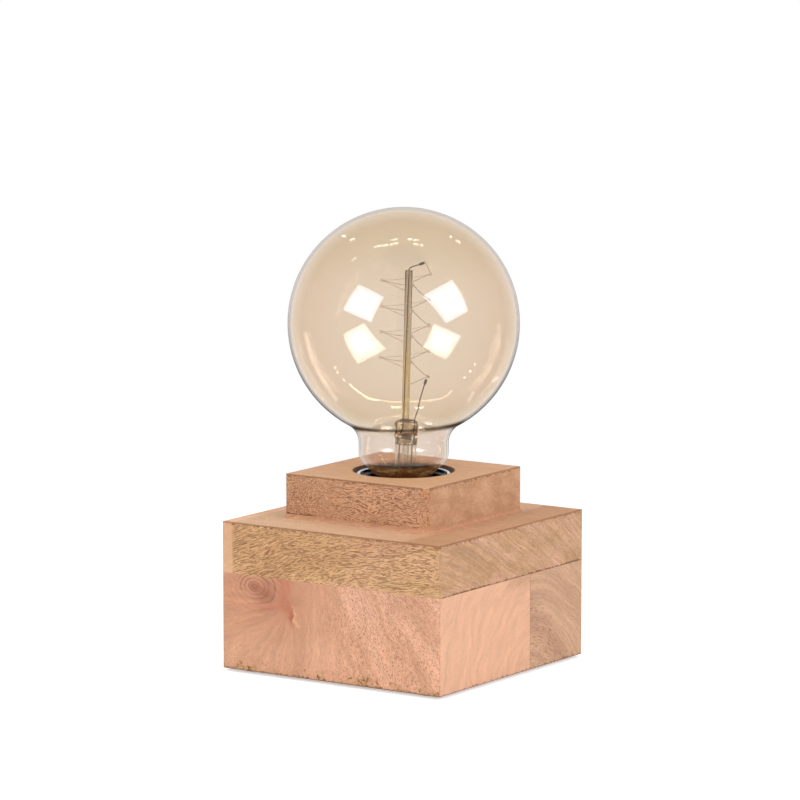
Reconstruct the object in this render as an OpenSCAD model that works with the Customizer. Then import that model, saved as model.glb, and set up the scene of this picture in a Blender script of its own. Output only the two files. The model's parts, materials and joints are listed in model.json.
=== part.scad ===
// Table lamp with a bare globe bulb standing in a stepped block of mango wood.
// Millimetres. +Z is up, the floor is z = 0 and the origin is under the middle of the block.
// The wood is glued up from a two-board lower block, a plate of the same outline and a smaller
// top block. A steel cup sinks into a bore in its middle and holds the screw lampholder.
// The filament mount inside the bulb is built in the bulb's own turned frame, x to its right
// lead, y to its back and z up.

/* [Wood blocks] */
// Width of the lower block and of the plate, left to right
block_w = 141; // [110:1:200]
// Depth of the lower block and of the plate, front to back
block_d = 141; // [110:1:200]
// Height of the lower block
lower_h = 52.5; // [49:0.5:80]
// Height of the plate up to the flat round its land
plate_h = 27.8; // [25:0.1:50]
// Height of the land on the plate that carries the top block
land_h = 3.2; // [2.8:0.1:8]
// Radius of the hollow at the foot of the land
cove_r = 2.6; // [1:0.1:2.7]
// Width of the top block
top_w = 92.5; // [70:0.5:104]
// Depth of the top block
top_d = 92.5; // [70:0.5:104]
// Height of the top block
top_h = 21.5; // [19:0.5:40]
// Distance of the glue joint between the two lower boards behind the middle
joint_y = 17; // [8:0.5:30]
// Rounding of the upright corners of the lower block and the plate
corner_r = 1.6; // [0.5:0.1:6]
// Rounding of the upright corners of the top block
top_corner_r = 2.5; // [0.5:0.5:10]
// Rounding of the top block's corner between its front and its right side
front_corner_r = 9; // [1:0.5:12]
// Bevel taken off the level edges by sanding
edge_bevel = 0.7; // [0.2:0.1:2]

/* [Bores in the wood] */
// Diameter of the bore that the lampholder cup stands in
bore_d = 55; // [53:0.5:60]
// Thickness of the wood web left between the bore and the recess under it
web_t = 12.5; // [6:0.5:14]
// Diameter of the hole through the web
web_hole_d = 10.6; // [10.2:0.1:14]
// Depth of the wiring recess in the underside
recess_depth = 26; // [20:0.5:27]
// Diameter of the wiring recess
recess_d = 60; // [46:1:61]
// Height of the cord hole above the floor
cord_z = 15; // [12.5:0.5:17]
// Diameter of the cord hole
cord_hole_d = 10; // [8:0.5:12]

/* [Base fittings] */
// Diameter of the cover that closes the recess
cover_d = 76; // [74:1:90]
// Thickness of the cover
cover_t = 3; // [2.5:0.1:4]
// How far the cover lies above the underside of the wood
cover_sink = 0.5; // [0.2:0.1:1]
// Gap round the cover in its rebate
cover_gap = 0.3; // [0.1:0.05:1]
// Number of cover screws
cover_screws_n = 4; // [3:1:6]
// Diameter of the cover screws' shanks
cover_screw_d = 3; // [2:0.1:3.5]
// Diameter of the cover screws' heads
cover_head_d = 5.8; // [4.4:0.1:6.4]
// Length of the cover screws
cover_screw_l = 12; // [8:0.5:16]
// Diameter of the felt pads
pad_d = 16; // [10:1:22]
// Thickness of the felt pads
pad_t = 1.5; // [1:0.1:3]
// Distance of each pad's middle from the two nearest sides of the block
pad_inset = 14; // [12:0.5:20]
// Diameter of the cord bush's flange
bush_flange_d = 14; // [13:0.5:18]
// Thickness of the flange, which lies flush in the rear board
bush_flange_t = 1.2; // [0.8:0.1:2]
// Length of the bush behind its flange
bush_l = 14; // [6:0.5:22]
// Bore of the bush, which the cord passes
bush_bore_d = 6.5; // [5:0.1:7]

/* [Lampholder cup] */
// Outer diameter of the cup's wall
cup_d = 48.7; // [48:0.1:50.5]
// Thickness of the cup's sheet
cup_t = 0.8; // [0.5:0.1:1.2]
// Thickness of the rolled rim
cup_rim_t = 2; // [1.8:0.1:2.4]
// Radius between the cup's wall and its floor
cup_floor_r = 2; // [1:0.25:2]
// How far the rim lies below the top of the wood
rim_drop = 1.3; // [0.5:0.1:6]
// Thickness of the black liner's wall at its mouth
liner_t = 1.2; // [0.8:0.1:2]
// How far the liner's edge lies below the rim
liner_drop = 2.4; // [2.1:0.1:4]
// Height of the straight part of the liner
liner_wall_h = 6; // [3:0.5:7]
// Diameter of the liner's throat
throat_d = 31; // [30:0.5:36]
// Thickness of the liner round the throat
throat_t = 1.6; // [1.2:0.1:2.5]

/* [Lampholder insert] */
// Diameter of the insert
insert_d = 45; // [43.5:0.5:46.5]
// Thickness of the insert's disc
insert_t = 16; // [14:0.5:17]
// Diameter of the well under the bulb's contact
well_d = 24; // [22:0.5:24.5]
// Depth of the well
well_depth = 8; // [7:0.5:9]
// Height of the collar that stands round the screw shell
collar_h = 8; // [4:0.5:10]
// Thickness of the collar
collar_t = 2.4; // [1.5:0.1:3]
// Distance of the insert screws from the axis
insert_screw_x = 19.2; // [18.9:0.1:19.6]
// Diameter of the insert screws
insert_screw_d = 3; // [2.5:0.1:3.2]
// Diameter of the feet under the insert
foot_d = 6; // [5:0.1:6.4]
// Length of the screw shell
shell_h = 22; // [18:0.5:23]
// Thickness of the screw shell's sheet
shell_t = 0.4; // [0.3:0.05:0.5]
// Width of the spring tongue under the bulb
tongue_w = 6; // [4:0.5:8]
// Thickness of the spring tongue
tongue_t = 0.5; // [0.4:0.05:0.7]
// Distance of the tongue's bend from the axis
tongue_x = 7; // [6:0.5:8]
// Width of the terminal blocks
terminal_w = 7; // [6:0.5:8]
// Distance of the terminal blocks from the axis
terminal_y = 18; // [17.5:0.1:18.3]

/* [Nipple and nuts] */
// Outer diameter of the threaded nipple
nipple_d = 10; // [8:0.1:10]
// Bore of the nipple
nipple_bore_d = 7.4; // [5:0.1:7.6]
// How far the nipple stands up in the cup
nipple_up = 6; // [4:0.5:7]
// How far the nipple stands out of the nut under the web
nipple_down = 3; // [1:0.5:4]
// Width of the nuts across their flats
nut_af = 14; // [13:0.5:17]
// Height of the nuts
nut_h = 3; // [2:0.1:3.5]
// Diameter of the washer under the web
washer_d = 24; // [18:0.5:30]
// Thickness of the washer
washer_t = 1.5; // [1:0.1:2.5]

/* [Bulb glass] */
// Diameter of the globe
globe_d = 125; // [118:1:140]
// Wall of the glass
glass_t = 0.8; // [0.5:0.05:1.2]
// Diameter of the straight neck
neck_d = 48.5; // [44:0.5:52]
// Length of the straight neck
neck_l = 5.5; // [3:0.5:12]
// Radius of the hollow between globe and neck
throat_blend_r = 12; // [8:0.5:16]
// Slope of the shoulder below the neck, from upright
shoulder_angle = 45; // [40:1:50]
// Radius of the bend from the neck to the shoulder
shoulder_r = 7; // [5:0.5:9]
// Diameter of the glass tail inside the cap
tail_d = 24.4; // [23.5:0.1:24.8]
// How deep the tail stands in the cap
tail_depth = 7; // [5:0.5:10]

/* [Bulb cap] */
// How far the bulb's contact lies below the top of the wood
seat_drop = 35.4; // [33:0.1:36.5]
// Height of the cap with its contact
cap_h = 27; // [26:0.5:28]
// Diameter over the cap's thread
cap_d = 26.34; // [25.8:0.02:26.6]
// Running clearance between the cap and the screw shell, on the radius
cap_clear = 0.08; // [0.05:0.01:0.1]
// Thickness of the cap's sheet
cap_t = 0.35; // [0.25:0.05:0.5]
// Diameter of the contact under the cap
contact_d = 9.5; // [8:0.5:11]
// Height of the contact
contact_h = 1.2; // [0.8:0.1:2]
// Height of the black glass insulator's cone
insulator_h = 3; // [2:0.5:4]

/* [Filament mount] */
// Direction of the mount's right lead, turned from the X axis
mount_turn = 34; // [0:0.5:360]
// Diameter of the stem's tube
stem_d = 11.8; // [10:0.2:12.6]
// Wall of the stem's tube
stem_t = 0.9; // [0.6:0.1:1.2]
// Height of the stem from its flare to the top of the press
stem_h = 43; // [40:0.5:50]
// Radius of the stem's flare
flare_r = 5.5; // [4:0.5:5.6]
// How far the stem leans to its right
stem_lean = 2.3; // [0:0.1:3]
// Width of the press
press_w = 13; // [12.4:0.1:14]
// Thickness of the press
press_t = 7; // [6:0.1:9]
// Height of the press
press_h = 13.5; // [11:0.5:15]
// Outer diameter of the glass support tube
support_d = 4; // [3.6:0.1:5]
// Bore of the support tube
support_bore_d = 2.8; // [2.6:0.1:3]
// Height of the support tube above the press
support_h = 80.8; // [76:0.2:84]
// Distance of the support tube's foot from the bulb's axis
support_x = 0.9; // [-1:0.1:2]
// How far the support tube leans to its right
support_lean = 1.35; // [0:0.05:2]
// Radius of the lead wires
lead_r = 0.32; // [0.2:0.01:0.35]
// How far beyond the support tube's axis the long lead ends
long_lead_x = 7.7; // [6:0.1:9]
// Height of the long lead's end above the support tube
long_lead_h = 4.1; // [3:0.1:5]
// Height of the short lead above the press
short_lead_h = 21.3; // [14:0.1:24]
// How far out the short lead ends
short_lead_x = 10.6; // [8:0.1:13]
// Diameter of the clamps on the ends of the leads
clamp_d = 1.5; // [1.1:0.1:2.2]
// Length of the clamps
clamp_l = 3; // [2:0.1:4]

/* [Filament] */
// Radius of the filament's winding round the support tube
wind_r = 15; // [12:0.5:18]
// Drop of the filament in one turn
wind_pitch = 13.9; // [12:0.1:14]
// Number of hooks in one turn
hooks_per_turn = 3; // [3:1:4]
// Number of hooks
hooks_n = 13; // [7:1:13]
// Direction of the first hook, turned back from the right lead
hook_start = 40; // [20:1:60]
// Depth of the first hook's loop below the top of the support tube
hook_top = 0.5; // [0:0.1:4]
// How far each hook rises from the tube to its loop
hook_rise = 5.8; // [3:0.1:8]
// Radius of the hook wire
hook_wire_r = 0.16; // [0.1:0.01:0.25]
// Radius of the loop on each hook
loop_r = 0.8; // [0.6:0.05:1.2]
// Radius of the filament
filament_r = 0.2; // [0.1:0.01:0.25]
// Sag of the filament between two hooks
filament_sag = 0.7; // [0:0.1:2]

/* [Hidden] */
$fn = 96;

// Small lengths used throughout
cut = 1;                // how far a cutter runs past the face it opens
seat = 0.05;            // play of a piece that is fixed in its seat
slack = 0.3;            // gap between pieces that must not touch
cove_lift = 0.1;        // how far the arc of the hollow reaches below the flat

// Small sizes of the lampholder's fittings
rivet_r = 1.2;
rivet_head_h = 0.6;
rivet_x = 3;                // distance of the rivet behind the tongue's bend
foot_l = 4;                 // length of the spring strip's fixed end
floor_t = 2;                // thickness of the insert's floor under its well
shell_stand = 1.8;          // height of the insert's top over the bulb's contact
shell_foot_w = 0.8;         // how far the screw shell is turned in at its foot
shell_lip_w = 0.6;          // how far it is turned out at its mouth
screw_head_h = 1.8;
screw_slot_w = 0.7;
terminal_d = 5;
terminal_h = 7;
terminal_up = 2;            // how far a terminal block stands out of the insert
terminal_screw_d = 2.6;
terminal_screw_l = 4;
terminal_screw_in = 1.5;    // how deep the screw starts below the insert's top
terminal_head_h = 1.4;
wire_hole_d = 3;

// Small sizes of the bulb's mount
lead_bend = 4;              // length over which a lead bends
press_collar_h = 1.2;       // height of the press that is still round
clamp_over = 0.6;           // how far a clamp reaches past the end of its lead

// Colours
wood_pink = [0.85, 0.62, 0.50];
wood_tan = [0.76, 0.60, 0.44];
black = [0.05, 0.05, 0.05];
steel = [0.75, 0.75, 0.75];
brass = [0.80, 0.62, 0.30];
amber = [0.87, 0.76, 0.60, 0.4];
clear = [0.90, 0.88, 0.84, 0.4];
wire_grey = [0.35, 0.30, 0.26];

// Levels of the wood
lower_z = pad_t;
plate_z = lower_z + lower_h;
flat_z = plate_z + plate_h;
top_z = flat_z + land_h;
wood_z = top_z + top_h;
recess_z = lower_z + recess_depth;
pocket_z = recess_z + web_t;
cover_z = lower_z + cover_sink;
rebate_z = cover_z + cover_t;

// Levels and radii of the cup
rim_z = wood_z - rim_drop;
cup_r = cup_d / 2;
cup_in_r = cup_r - cup_t;
cup_floor_z = pocket_z + cup_t;
liner_r = cup_in_r - slack / 2;
liner_z = rim_z - liner_drop;
liner_bend_z = liner_z - liner_wall_h;
throat_r = throat_d / 2;

// Levels of the bulb and of the insert under it
seat_z = wood_z - seat_drop;
cap_top_z = seat_z + cap_h;
insulator_z = seat_z + contact_h;
cap_z = insulator_z + insulator_h;
tongue_z = seat_z - seat - tongue_t;
insert_top_z = seat_z + shell_stand;
insert_z = insert_top_z - insert_t;
well_z = insert_top_z - well_depth;
cap_r = cap_d / 2;
cap_in_r = cap_r - cap_t;
shell_in_r = cap_r + cap_clear;
shell_r = shell_in_r + shell_t;
shell_lip_r = cap_in_r - slack - cap_t;

// Cover screws lie midway between the recess and the edge of the cover
cover_circle_r = (recess_d + cover_d) / 4;
cover_head_h = (cover_head_d - cover_screw_d) / 2;
cover_screw_turn = 180 / cover_screws_n;

// The glass: centres of its arcs, from the cap upwards
globe_r = globe_d / 2;
neck_r = neck_d / 2;
tail_r = tail_d / 2;
tail_blend_r = shoulder_r;
tail_z = cap_top_z - tail_depth;
tail_bend_z = cap_top_z;
shoulder_x = neck_r - shoulder_r;
tail_bend_x = tail_r + tail_blend_r;
shoulder_fall = ((shoulder_x - tail_bend_x) * cos(shoulder_angle) + shoulder_r + tail_blend_r)
    / sin(shoulder_angle);
shoulder_z = tail_bend_z + shoulder_fall;
blend_x = neck_r + throat_blend_r;
blend_z = shoulder_z + neck_l;
globe_z = blend_z + sqrt(pow(globe_r + throat_blend_r, 2) - pow(blend_x, 2));

// The stem stands on its flare, just above the end of the tail
flare_z = tail_z + slack;
flare_rim_r = tail_r - glass_t - slack;
stem_r = stem_d / 2;
press_top_z = flare_z + stem_h;
exhaust_r = 1.8;
exhaust_bore_r = 1.1;
exhaust_up = 11;        // height of the exhaust tube's end above the bulb's contact
exhaust_end_z = seat_z + exhaust_up;
press_sink = 2;         // how deep the support tube stands in the press
under_x = 3.4;          // distance of both leads from the stem's axis under the press

// Points of the mount: a point beside the support tube, and one beside the stem
function by_support(x, y, h) = [
    support_x + x * cos(support_lean) + h * sin(support_lean),
    y,
    press_top_z - x * sin(support_lean) + h * cos(support_lean),
];
function by_stem(x, y, h) = [
    x * cos(stem_lean) + h * sin(stem_lean),
    y,
    flare_z - x * sin(stem_lean) + h * cos(stem_lean),
];

// Routes of the leads, from the cap upwards
press_foot_h = stem_h - press_h;
lead_lean_x = support_bore_d / 2 - lead_r - 2 * seat;
long_lead_path = [
    [0, 0, insulator_z + slack],
    [0, 0, cap_z + lead_bend / 4],
    [-under_x / 2, 0, cap_z + lead_bend],
    by_stem(-under_x, 0, -lead_bend),
    by_stem(-under_x, 0, press_foot_h / 2),
    by_stem(-under_x, 0, press_foot_h + lead_bend / 2),
    by_support(-lead_lean_x - lead_r, 0, -1.5 * lead_bend),
    by_support(-lead_lean_x, 0, -press_sink - lead_bend / 4),
    by_support(-lead_lean_x, 0, lead_bend / 2),
    by_support(-lead_lean_x / 2, 0, support_h / 2),
    by_support(0, 0, support_h - lead_bend),
    by_support(long_lead_x * 0.01, 0, support_h + long_lead_h * 0.1),
    by_support(long_lead_x * 0.06, 0, support_h + long_lead_h * 0.3),
    by_support(long_lead_x * 0.18, 0, support_h + long_lead_h * 0.44),
    by_support(long_lead_x * 0.58, 0, support_h + long_lead_h * 0.7),
    by_support(long_lead_x, 0, support_h + long_lead_h),
];
cap_lead_x = cap_in_r - slack - lead_r;
short_lead_path = [
    [cap_lead_x, 0, cap_z + 1.5 * lead_bend],
    [cap_lead_x - lead_bend / 2, 0, cap_z + 1.75 * lead_bend],
    by_stem(under_x + lead_bend / 4, 0, -lead_bend / 2),
    by_stem(under_x, 0, 0.75 * lead_bend),
    by_stem(under_x, 0, press_foot_h / 2),
    by_stem(under_x, 0, press_foot_h + 0.75 * lead_bend),
    by_stem(under_x + slack, 0, stem_h - lead_bend),
    by_stem(under_x + 3 * slack, 0, stem_h + lead_bend / 8),
    by_support(short_lead_x * 0.6, 0, short_lead_h * 0.2),
    by_support(short_lead_x * 0.72, 0, short_lead_h * 0.5),
    by_support(short_lead_x * 0.88, 0, short_lead_h * 0.8),
    by_support(short_lead_x, 0, short_lead_h),
];

// The winding: each hook's loop, and the filament that runs from one to the next
hook_step = 360 / hooks_per_turn;
function hook_angle(i) = -hook_start - i * hook_step;
function hook_level(i) = support_h - hook_top - i * wind_pitch / hooks_per_turn;
function hook_loop(i) =
    by_support(wind_r * cos(hook_angle(i)), wind_r * sin(hook_angle(i)), hook_level(i));
span_steps = 4;
function span_point(a, b, k) = a + (b - a) * k / span_steps
    - [0, 0, 4 * filament_sag * (k / span_steps) * (1 - k / span_steps)];
long_lead_end = long_lead_path[len(long_lead_path) - 1];
short_lead_end = short_lead_path[len(short_lead_path) - 1];
filament_path = concat(
    [long_lead_end + [0.6, -0.5, 1], long_lead_end + [1.3, -2, 0.2]],
    [for (i = [0:hooks_n - 2]) for (k = [0:span_steps - 1])
        span_point(hook_loop(i), hook_loop(i + 1), k)],
    [hook_loop(hooks_n - 1), short_lead_end + [1.8, -1.6, 2.4], short_lead_end + [1.2, -0.4, 1]]
);

function unit(v) = v / norm(v);

// Direction of a route at its point i
function heading(path, i) =
    unit(path[min(i + 1, len(path) - 1)] - path[max(i - 1, 0)]);

// Points of a ring of n sides square to the route at point i
function ring_points(path, i, r, side, n) =
    let (t = heading(path, i), u = unit(cross(t, side)), v = cross(t, u))
    [for (k = [0:n - 1]) path[i] + r * (cos(360 * k / n) * u + sin(360 * k / n) * v)];

// Wire along a route. side is a direction that the route never takes.
module wire(path, r, side = [0, 1, 0], n = 8) {
    last = len(path) - 1;
    points = [for (i = [0:last]) each ring_points(path, i, r, side, n)];
    walls = [for (i = [0:last - 1]) for (k = [0:n - 1])
        [i * n + k, (i + 1) * n + k, (i + 1) * n + (k + 1) % n, i * n + (k + 1) % n]];
    first_cap = [for (k = [0:n - 1]) k];
    last_cap = [for (k = [n - 1:-1:0]) last * n + k];
    polyhedron(points, concat([first_cap], [last_cap], walls), convexity = 6);
}

// Upright tube between two levels
module tube(r_out, r_in, low, high) {
    difference() {
        translate([0, 0, low]) cylinder(r = r_out, h = high - low);
        translate([0, 0, low - cut]) cylinder(r = r_in, h = high - low + 2 * cut);
    }
}

// Outline of a block seen from above, with round corners, of which the one between the front
// and the right side has its own radius
module block_outline(w, d, r, front_r) {
    difference() {
        union() {
            square([w - 2 * r, d], center = true);
            square([w, d - 2 * r], center = true);
            for (x = [-1, 1], y = [-1, 1]) {
                translate([x * (w / 2 - r), y * (d / 2 - r)]) circle(r = r);
            }
        }
        translate([w / 2 - front_r, front_r - d / 2]) difference() {
            translate([0, -front_r - cut]) square(front_r + cut);
            circle(r = front_r);
        }
    }
}

// Side view of a block between two levels, with its level edges bevelled
module bevelled_side(w, low, high) {
    e = edge_bevel;
    polygon([
        [-w / 2 + e, low], [w / 2 - e, low], [w / 2, low + e], [w / 2, high - e],
        [w / 2 - e, high], [-w / 2 + e, high], [-w / 2, high - e], [-w / 2, low + e],
    ]);
}

// Block of wood between two levels. An edge of a glue joint keeps no bevel.
module wood_block(w, d, r, front_r, low, high, low_bevel, high_bevel) {
    from = low_bevel ? low : low - 2 * edge_bevel;
    to = high_bevel ? high : high + 2 * edge_bevel;
    intersection() {
        translate([0, 0, low]) linear_extrude(height = high - low) block_outline(w, d, r, front_r);
        translate([0, d / 2, 0]) rotate([90, 0, 0])
            linear_extrude(height = d) bevelled_side(w, from, to);
        translate([-w / 2, 0, 0]) rotate([90, 0, 90])
            linear_extrude(height = w) bevelled_side(d, from, to);
    }
}

// Everything bored out of the wood
module wood_bores() {
    translate([0, 0, pocket_z]) cylinder(d = bore_d, h = wood_z - pocket_z + cut);
    translate([0, 0, lower_z]) cylinder(d = web_hole_d, h = wood_z - lower_z);
    translate([0, 0, lower_z - cut]) cylinder(d = recess_d, h = recess_depth + cut);
    translate([0, 0, lower_z - cut])
        cylinder(d = cover_d + 2 * cover_gap, h = rebate_z - lower_z + cut);
    on_cover_screws() translate([0, 0, cover_z])
        cylinder(d = cover_screw_d + 2 * seat, h = cover_screw_l + seat);
    translate([0, block_d / 2 + cut, cord_z]) rotate([90, 0, 0])
        cylinder(d = cord_hole_d, h = block_d / 2 + cut);
    translate([0, block_d / 2 + cut, cord_z]) rotate([90, 0, 0])
        cylinder(d = bush_flange_d + 2 * seat, h = bush_flange_t + cut);
}

// Places of the cover screws
module on_cover_screws() {
    for (i = [0:cover_screws_n - 1]) {
        rotate([0, 0, cover_screw_turn + i * 360 / cover_screws_n])
            translate([cover_circle_r, 0, 0]) children();
    }
}

// The lower block between two depths
module lower_board(front, back) {
    intersection() {
        wood_block(block_w, block_d, corner_r, corner_r, lower_z, plate_z, true, false);
        translate([-block_w / 2 - cut, front, lower_z - cut])
            cube([block_w + 2 * cut, back - front, lower_h + 2 * cut]);
    }
}

module lower_front_board() {
    color(wood_pink) difference() {
        lower_board(-block_d / 2 - cut, joint_y);
        wood_bores();
    }
}

module lower_rear_board() {
    color(wood_tan) difference() {
        lower_board(joint_y, block_d / 2 + cut);
        wood_bores();
    }
}

// Section of the land from r inside its side, with the hollow at its foot
module land_section(r) {
    difference() {
        square([r + cove_r, cove_r]);
        translate([r + cove_r, cove_r - cove_lift]) circle(r = cove_r);
    }
}

// The milled foot of the land: a straight stretch and a corner for each side, from the right
// side on to the left
module land_foot() {
    for (i = [0:3]) {
        across = i % 2 == 0 ? top_w : top_d;
        along = i % 2 == 0 ? top_d : top_w;
        first_r = i == 0 ? front_corner_r : top_corner_r;
        last_r = i == 3 ? front_corner_r : top_corner_r;
        rotate([0, 0, 90 * i]) {
            translate([0, along / 2 - last_r, 0]) rotate([90, 0, 0])
                linear_extrude(height = along - first_r - last_r) land_section(across / 2);
            translate([across / 2 - first_r, first_r - along / 2, 0]) rotate([0, 0, -90])
                rotate_extrude(angle = 90) land_section(first_r);
        }
    }
}

// Plate with the land left standing where the step was milled down
module middle_plate() {
    color(wood_tan) difference() {
        union() {
            wood_block(block_w, block_d, corner_r, corner_r, plate_z, flat_z, false, true);
            translate([0, 0, flat_z]) linear_extrude(height = land_h)
                block_outline(top_w, top_d, top_corner_r, front_corner_r);
            translate([0, 0, flat_z]) land_foot();
        }
        wood_bores();
    }
}

module top_block() {
    color(wood_tan) difference() {
        wood_block(top_w, top_d, top_corner_r, front_corner_r, top_z, wood_z, false, true);
        wood_bores();
    }
}

// Round cover with countersunk holes
module base_cover() {
    color(black) difference() {
        translate([0, 0, cover_z]) cylinder(d = cover_d, h = cover_t);
        on_cover_screws() {
            translate([0, 0, cover_z - cut])
                cylinder(d = cover_screw_d + 2 * slack, h = cover_t + 2 * cut);
            translate([0, 0, cover_z - slack])
                cylinder(d1 = cover_head_d + 4 * slack, d2 = cover_screw_d,
                         h = cover_head_h + 2 * slack);
        }
    }
}

// Countersunk wood screws with a cross slot
module cover_screws() {
    slot_w = cover_head_d / 6;
    color(steel) on_cover_screws() translate([0, 0, cover_z]) difference() {
        union() {
            cylinder(d1 = cover_head_d, d2 = cover_screw_d, h = cover_head_h);
            cylinder(d = cover_screw_d, h = cover_screw_l - cover_screw_d);
            translate([0, 0, cover_screw_l - cover_screw_d])
                cylinder(d1 = cover_screw_d, d2 = 0, h = cover_screw_d);
        }
        for (a = [0, 90]) {
            rotate([0, 0, a]) cube([cover_head_d * 0.6, slot_w, cover_head_h], center = true);
        }
    }
}

module felt_pads() {
    color([0.25, 0.2, 0.17]) for (x = [-1, 1], y = [-1, 1]) {
        translate([x * (block_w / 2 - pad_inset), y * (block_d / 2 - pad_inset), 0])
            cylinder(d = pad_d, h = pad_t);
    }
}

// Flanged bush that lines the cord hole, flush with the rear of the block
module cord_bush() {
    mouth_r = bush_bore_d / 2;
    color(black) translate([0, block_d / 2, cord_z]) rotate([90, 0, 0]) difference() {
        union() {
            cylinder(d = bush_flange_d, h = bush_flange_t);
            cylinder(d = cord_hole_d - 2 * seat, h = bush_flange_t + bush_l);
        }
        translate([0, 0, -cut]) cylinder(r = mouth_r, h = bush_flange_t + bush_l + 2 * cut);
    }
}

// Drawn steel cup with a rolled rim and a round floor edge
module socket_cup() {
    bead_r = cup_rim_t / 2;
    bend_z = pocket_z + cup_floor_r;
    color(steel) difference() {
        rotate_extrude() difference() {
            union() {
                translate([0, bend_z]) square([cup_r, rim_z - bead_r - bend_z]);
                translate([0, pocket_z]) square([cup_r - cup_floor_r, cup_floor_r]);
                intersection() {
                    translate([cup_r - cup_floor_r, bend_z]) circle(r = cup_floor_r);
                    translate([0, pocket_z]) square([cup_r, cup_floor_r]);
                }
                translate([cup_r, rim_z - bead_r]) circle(r = bead_r);
            }
            translate([0, bend_z]) square([cup_in_r, rim_z]);
            translate([0, cup_floor_z]) square([cup_r - cup_floor_r, cup_floor_r]);
            intersection() {
                translate([cup_r - cup_floor_r, bend_z]) circle(r = cup_floor_r - cup_t);
                translate([0, cup_floor_z]) square([cup_in_r, cup_floor_r]);
            }
        }
        translate([0, 0, pocket_z - cut]) cylinder(d = nipple_d + 4 * seat, h = cup_t + 2 * cut);
        for (x = [-1, 1]) {
            translate([x * insert_screw_x, 0, pocket_z - cut])
                cylinder(d = insert_screw_d + 4 * seat, h = cup_t + 2 * cut);
        }
    }
}

// Section of the liner: a straight mouth, a quarter-round bowl and a throat
module liner_section() {
    mouth_in_r = liner_r - liner_t;
    bowl_r = mouth_in_r - throat_r;
    throat_low_z = liner_bend_z - bowl_r - throat_t;
    difference() {
        union() {
            translate([throat_r, liner_bend_z - bowl_r])
                square([liner_r - throat_r, liner_z - liner_bend_z + bowl_r - liner_t / 2]);
            translate([throat_r, throat_low_z]) square([bowl_r * 0.6, throat_t]);
            translate([liner_r - liner_t / 2, liner_z - liner_t / 2]) circle(r = liner_t / 2);
        }
        translate([throat_r - cut, liner_bend_z]) square([bowl_r + cut, liner_z]);
        translate([throat_r, liner_bend_z]) circle(r = bowl_r);
    }
}

// Black liner that shows inside the cup, a bowl down to the screw shell
module cup_liner() {
    color(black) rotate_extrude() liner_section();
}

// Place of the rivet that holds the spring strip
module on_rivet() {
    translate([-tongue_x - rivet_x, 0, 0]) children();
}

// Moulded insert that carries the screw shell, the tongue and the terminals
module holder_insert() {
    wire_room_h = insert_t - well_depth - floor_t - cut;
    color(black) difference() {
        union() {
            translate([0, 0, insert_z]) cylinder(d = insert_d, h = insert_t);
            tube(shell_r + seat + collar_t, shell_r + seat, insert_top_z, insert_top_z + collar_h);
            for (x = [-1, 1]) {
                translate([x * insert_screw_x, 0, cup_floor_z])
                    cylinder(d = foot_d, h = insert_z - cup_floor_z);
            }
        }
        translate([0, 0, well_z]) cylinder(d = well_d, h = well_depth + collar_h);
        translate([0, 0, insert_z - cut]) cylinder(d = nipple_bore_d, h = wire_room_h + cut);
        on_rivet() translate([0, 0, insert_z - cut]) cylinder(r = rivet_r + seat, h = insert_t);
        for (x = [-1, 1]) {
            translate([x * insert_screw_x, 0, cup_floor_z - cut])
                cylinder(d = insert_screw_d + 2 * seat, h = wood_z);
        }
        for (y = [-1, 1]) {
            translate([0, y * terminal_y, insert_top_z])
                cube([terminal_w + 2 * seat, terminal_d + 2 * seat, 2 * terminal_h], center = true);
            translate([0, y * terminal_y, insert_z - cut]) cylinder(d = wire_hole_d, h = insert_t);
        }
    }
}

// Brass shell that the cap screws into, turned in at its foot and out at its mouth
module screw_shell() {
    lip_z = insert_top_z + shell_h;
    color(brass) rotate_extrude() {
        translate([shell_in_r, insert_top_z]) square([shell_t, shell_h]);
        translate([shell_in_r - shell_foot_w, insert_top_z]) square([shell_foot_w + shell_t, shell_t]);
        translate([shell_in_r + shell_t, lip_z - shell_t]) square([shell_lip_w, shell_t]);
    }
}

// Two long screws that hold the insert's feet down in the cup
module insert_screws() {
    color(steel) for (x = [-1, 1]) translate([x * insert_screw_x, 0, 0]) difference() {
        union() {
            translate([0, 0, insert_top_z + seat])
                cylinder(d = insert_screw_d * 1.9, h = screw_head_h);
            translate([0, 0, pocket_z + seat])
                cylinder(d = insert_screw_d, h = insert_top_z + 2 * seat - pocket_z);
        }
        translate([0, 0, insert_top_z + screw_head_h + seat])
            cube([insert_screw_d * 2, screw_slot_w, screw_head_h], center = true);
    }
}

// Brass block with a cross hole for the wire and a tapped hole for its screw
module terminal_block(y) {
    color(brass) translate([0, y, insert_top_z - terminal_h]) difference() {
        translate([-terminal_w / 2, -terminal_d / 2, seat])
            cube([terminal_w, terminal_d, terminal_h + terminal_up]);
        translate([0, 0, -cut]) cylinder(d = wire_hole_d, h = terminal_h);
        translate([0, 0, terminal_h - terminal_screw_in - 2 * seat])
            cylinder(d = terminal_screw_d + 2 * seat, h = terminal_screw_l + terminal_up);
    }
}

module shell_terminal() {
    terminal_block(terminal_y);
}

module contact_terminal() {
    terminal_block(-terminal_y);
}

module terminal_screws() {
    head_z = terminal_screw_l - terminal_screw_in - seat;
    color(steel) for (y = [-1, 1]) translate([0, y * terminal_y, insert_top_z]) difference() {
        union() {
            translate([0, 0, -terminal_screw_in])
                cylinder(d = terminal_screw_d, h = terminal_screw_l);
            translate([0, 0, head_z]) cylinder(d = terminal_screw_d * 1.7, h = terminal_head_h);
        }
        translate([0, 0, head_z + terminal_head_h])
            cube([terminal_screw_d * 2, screw_slot_w, terminal_head_h], center = true);
    }
}

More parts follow.
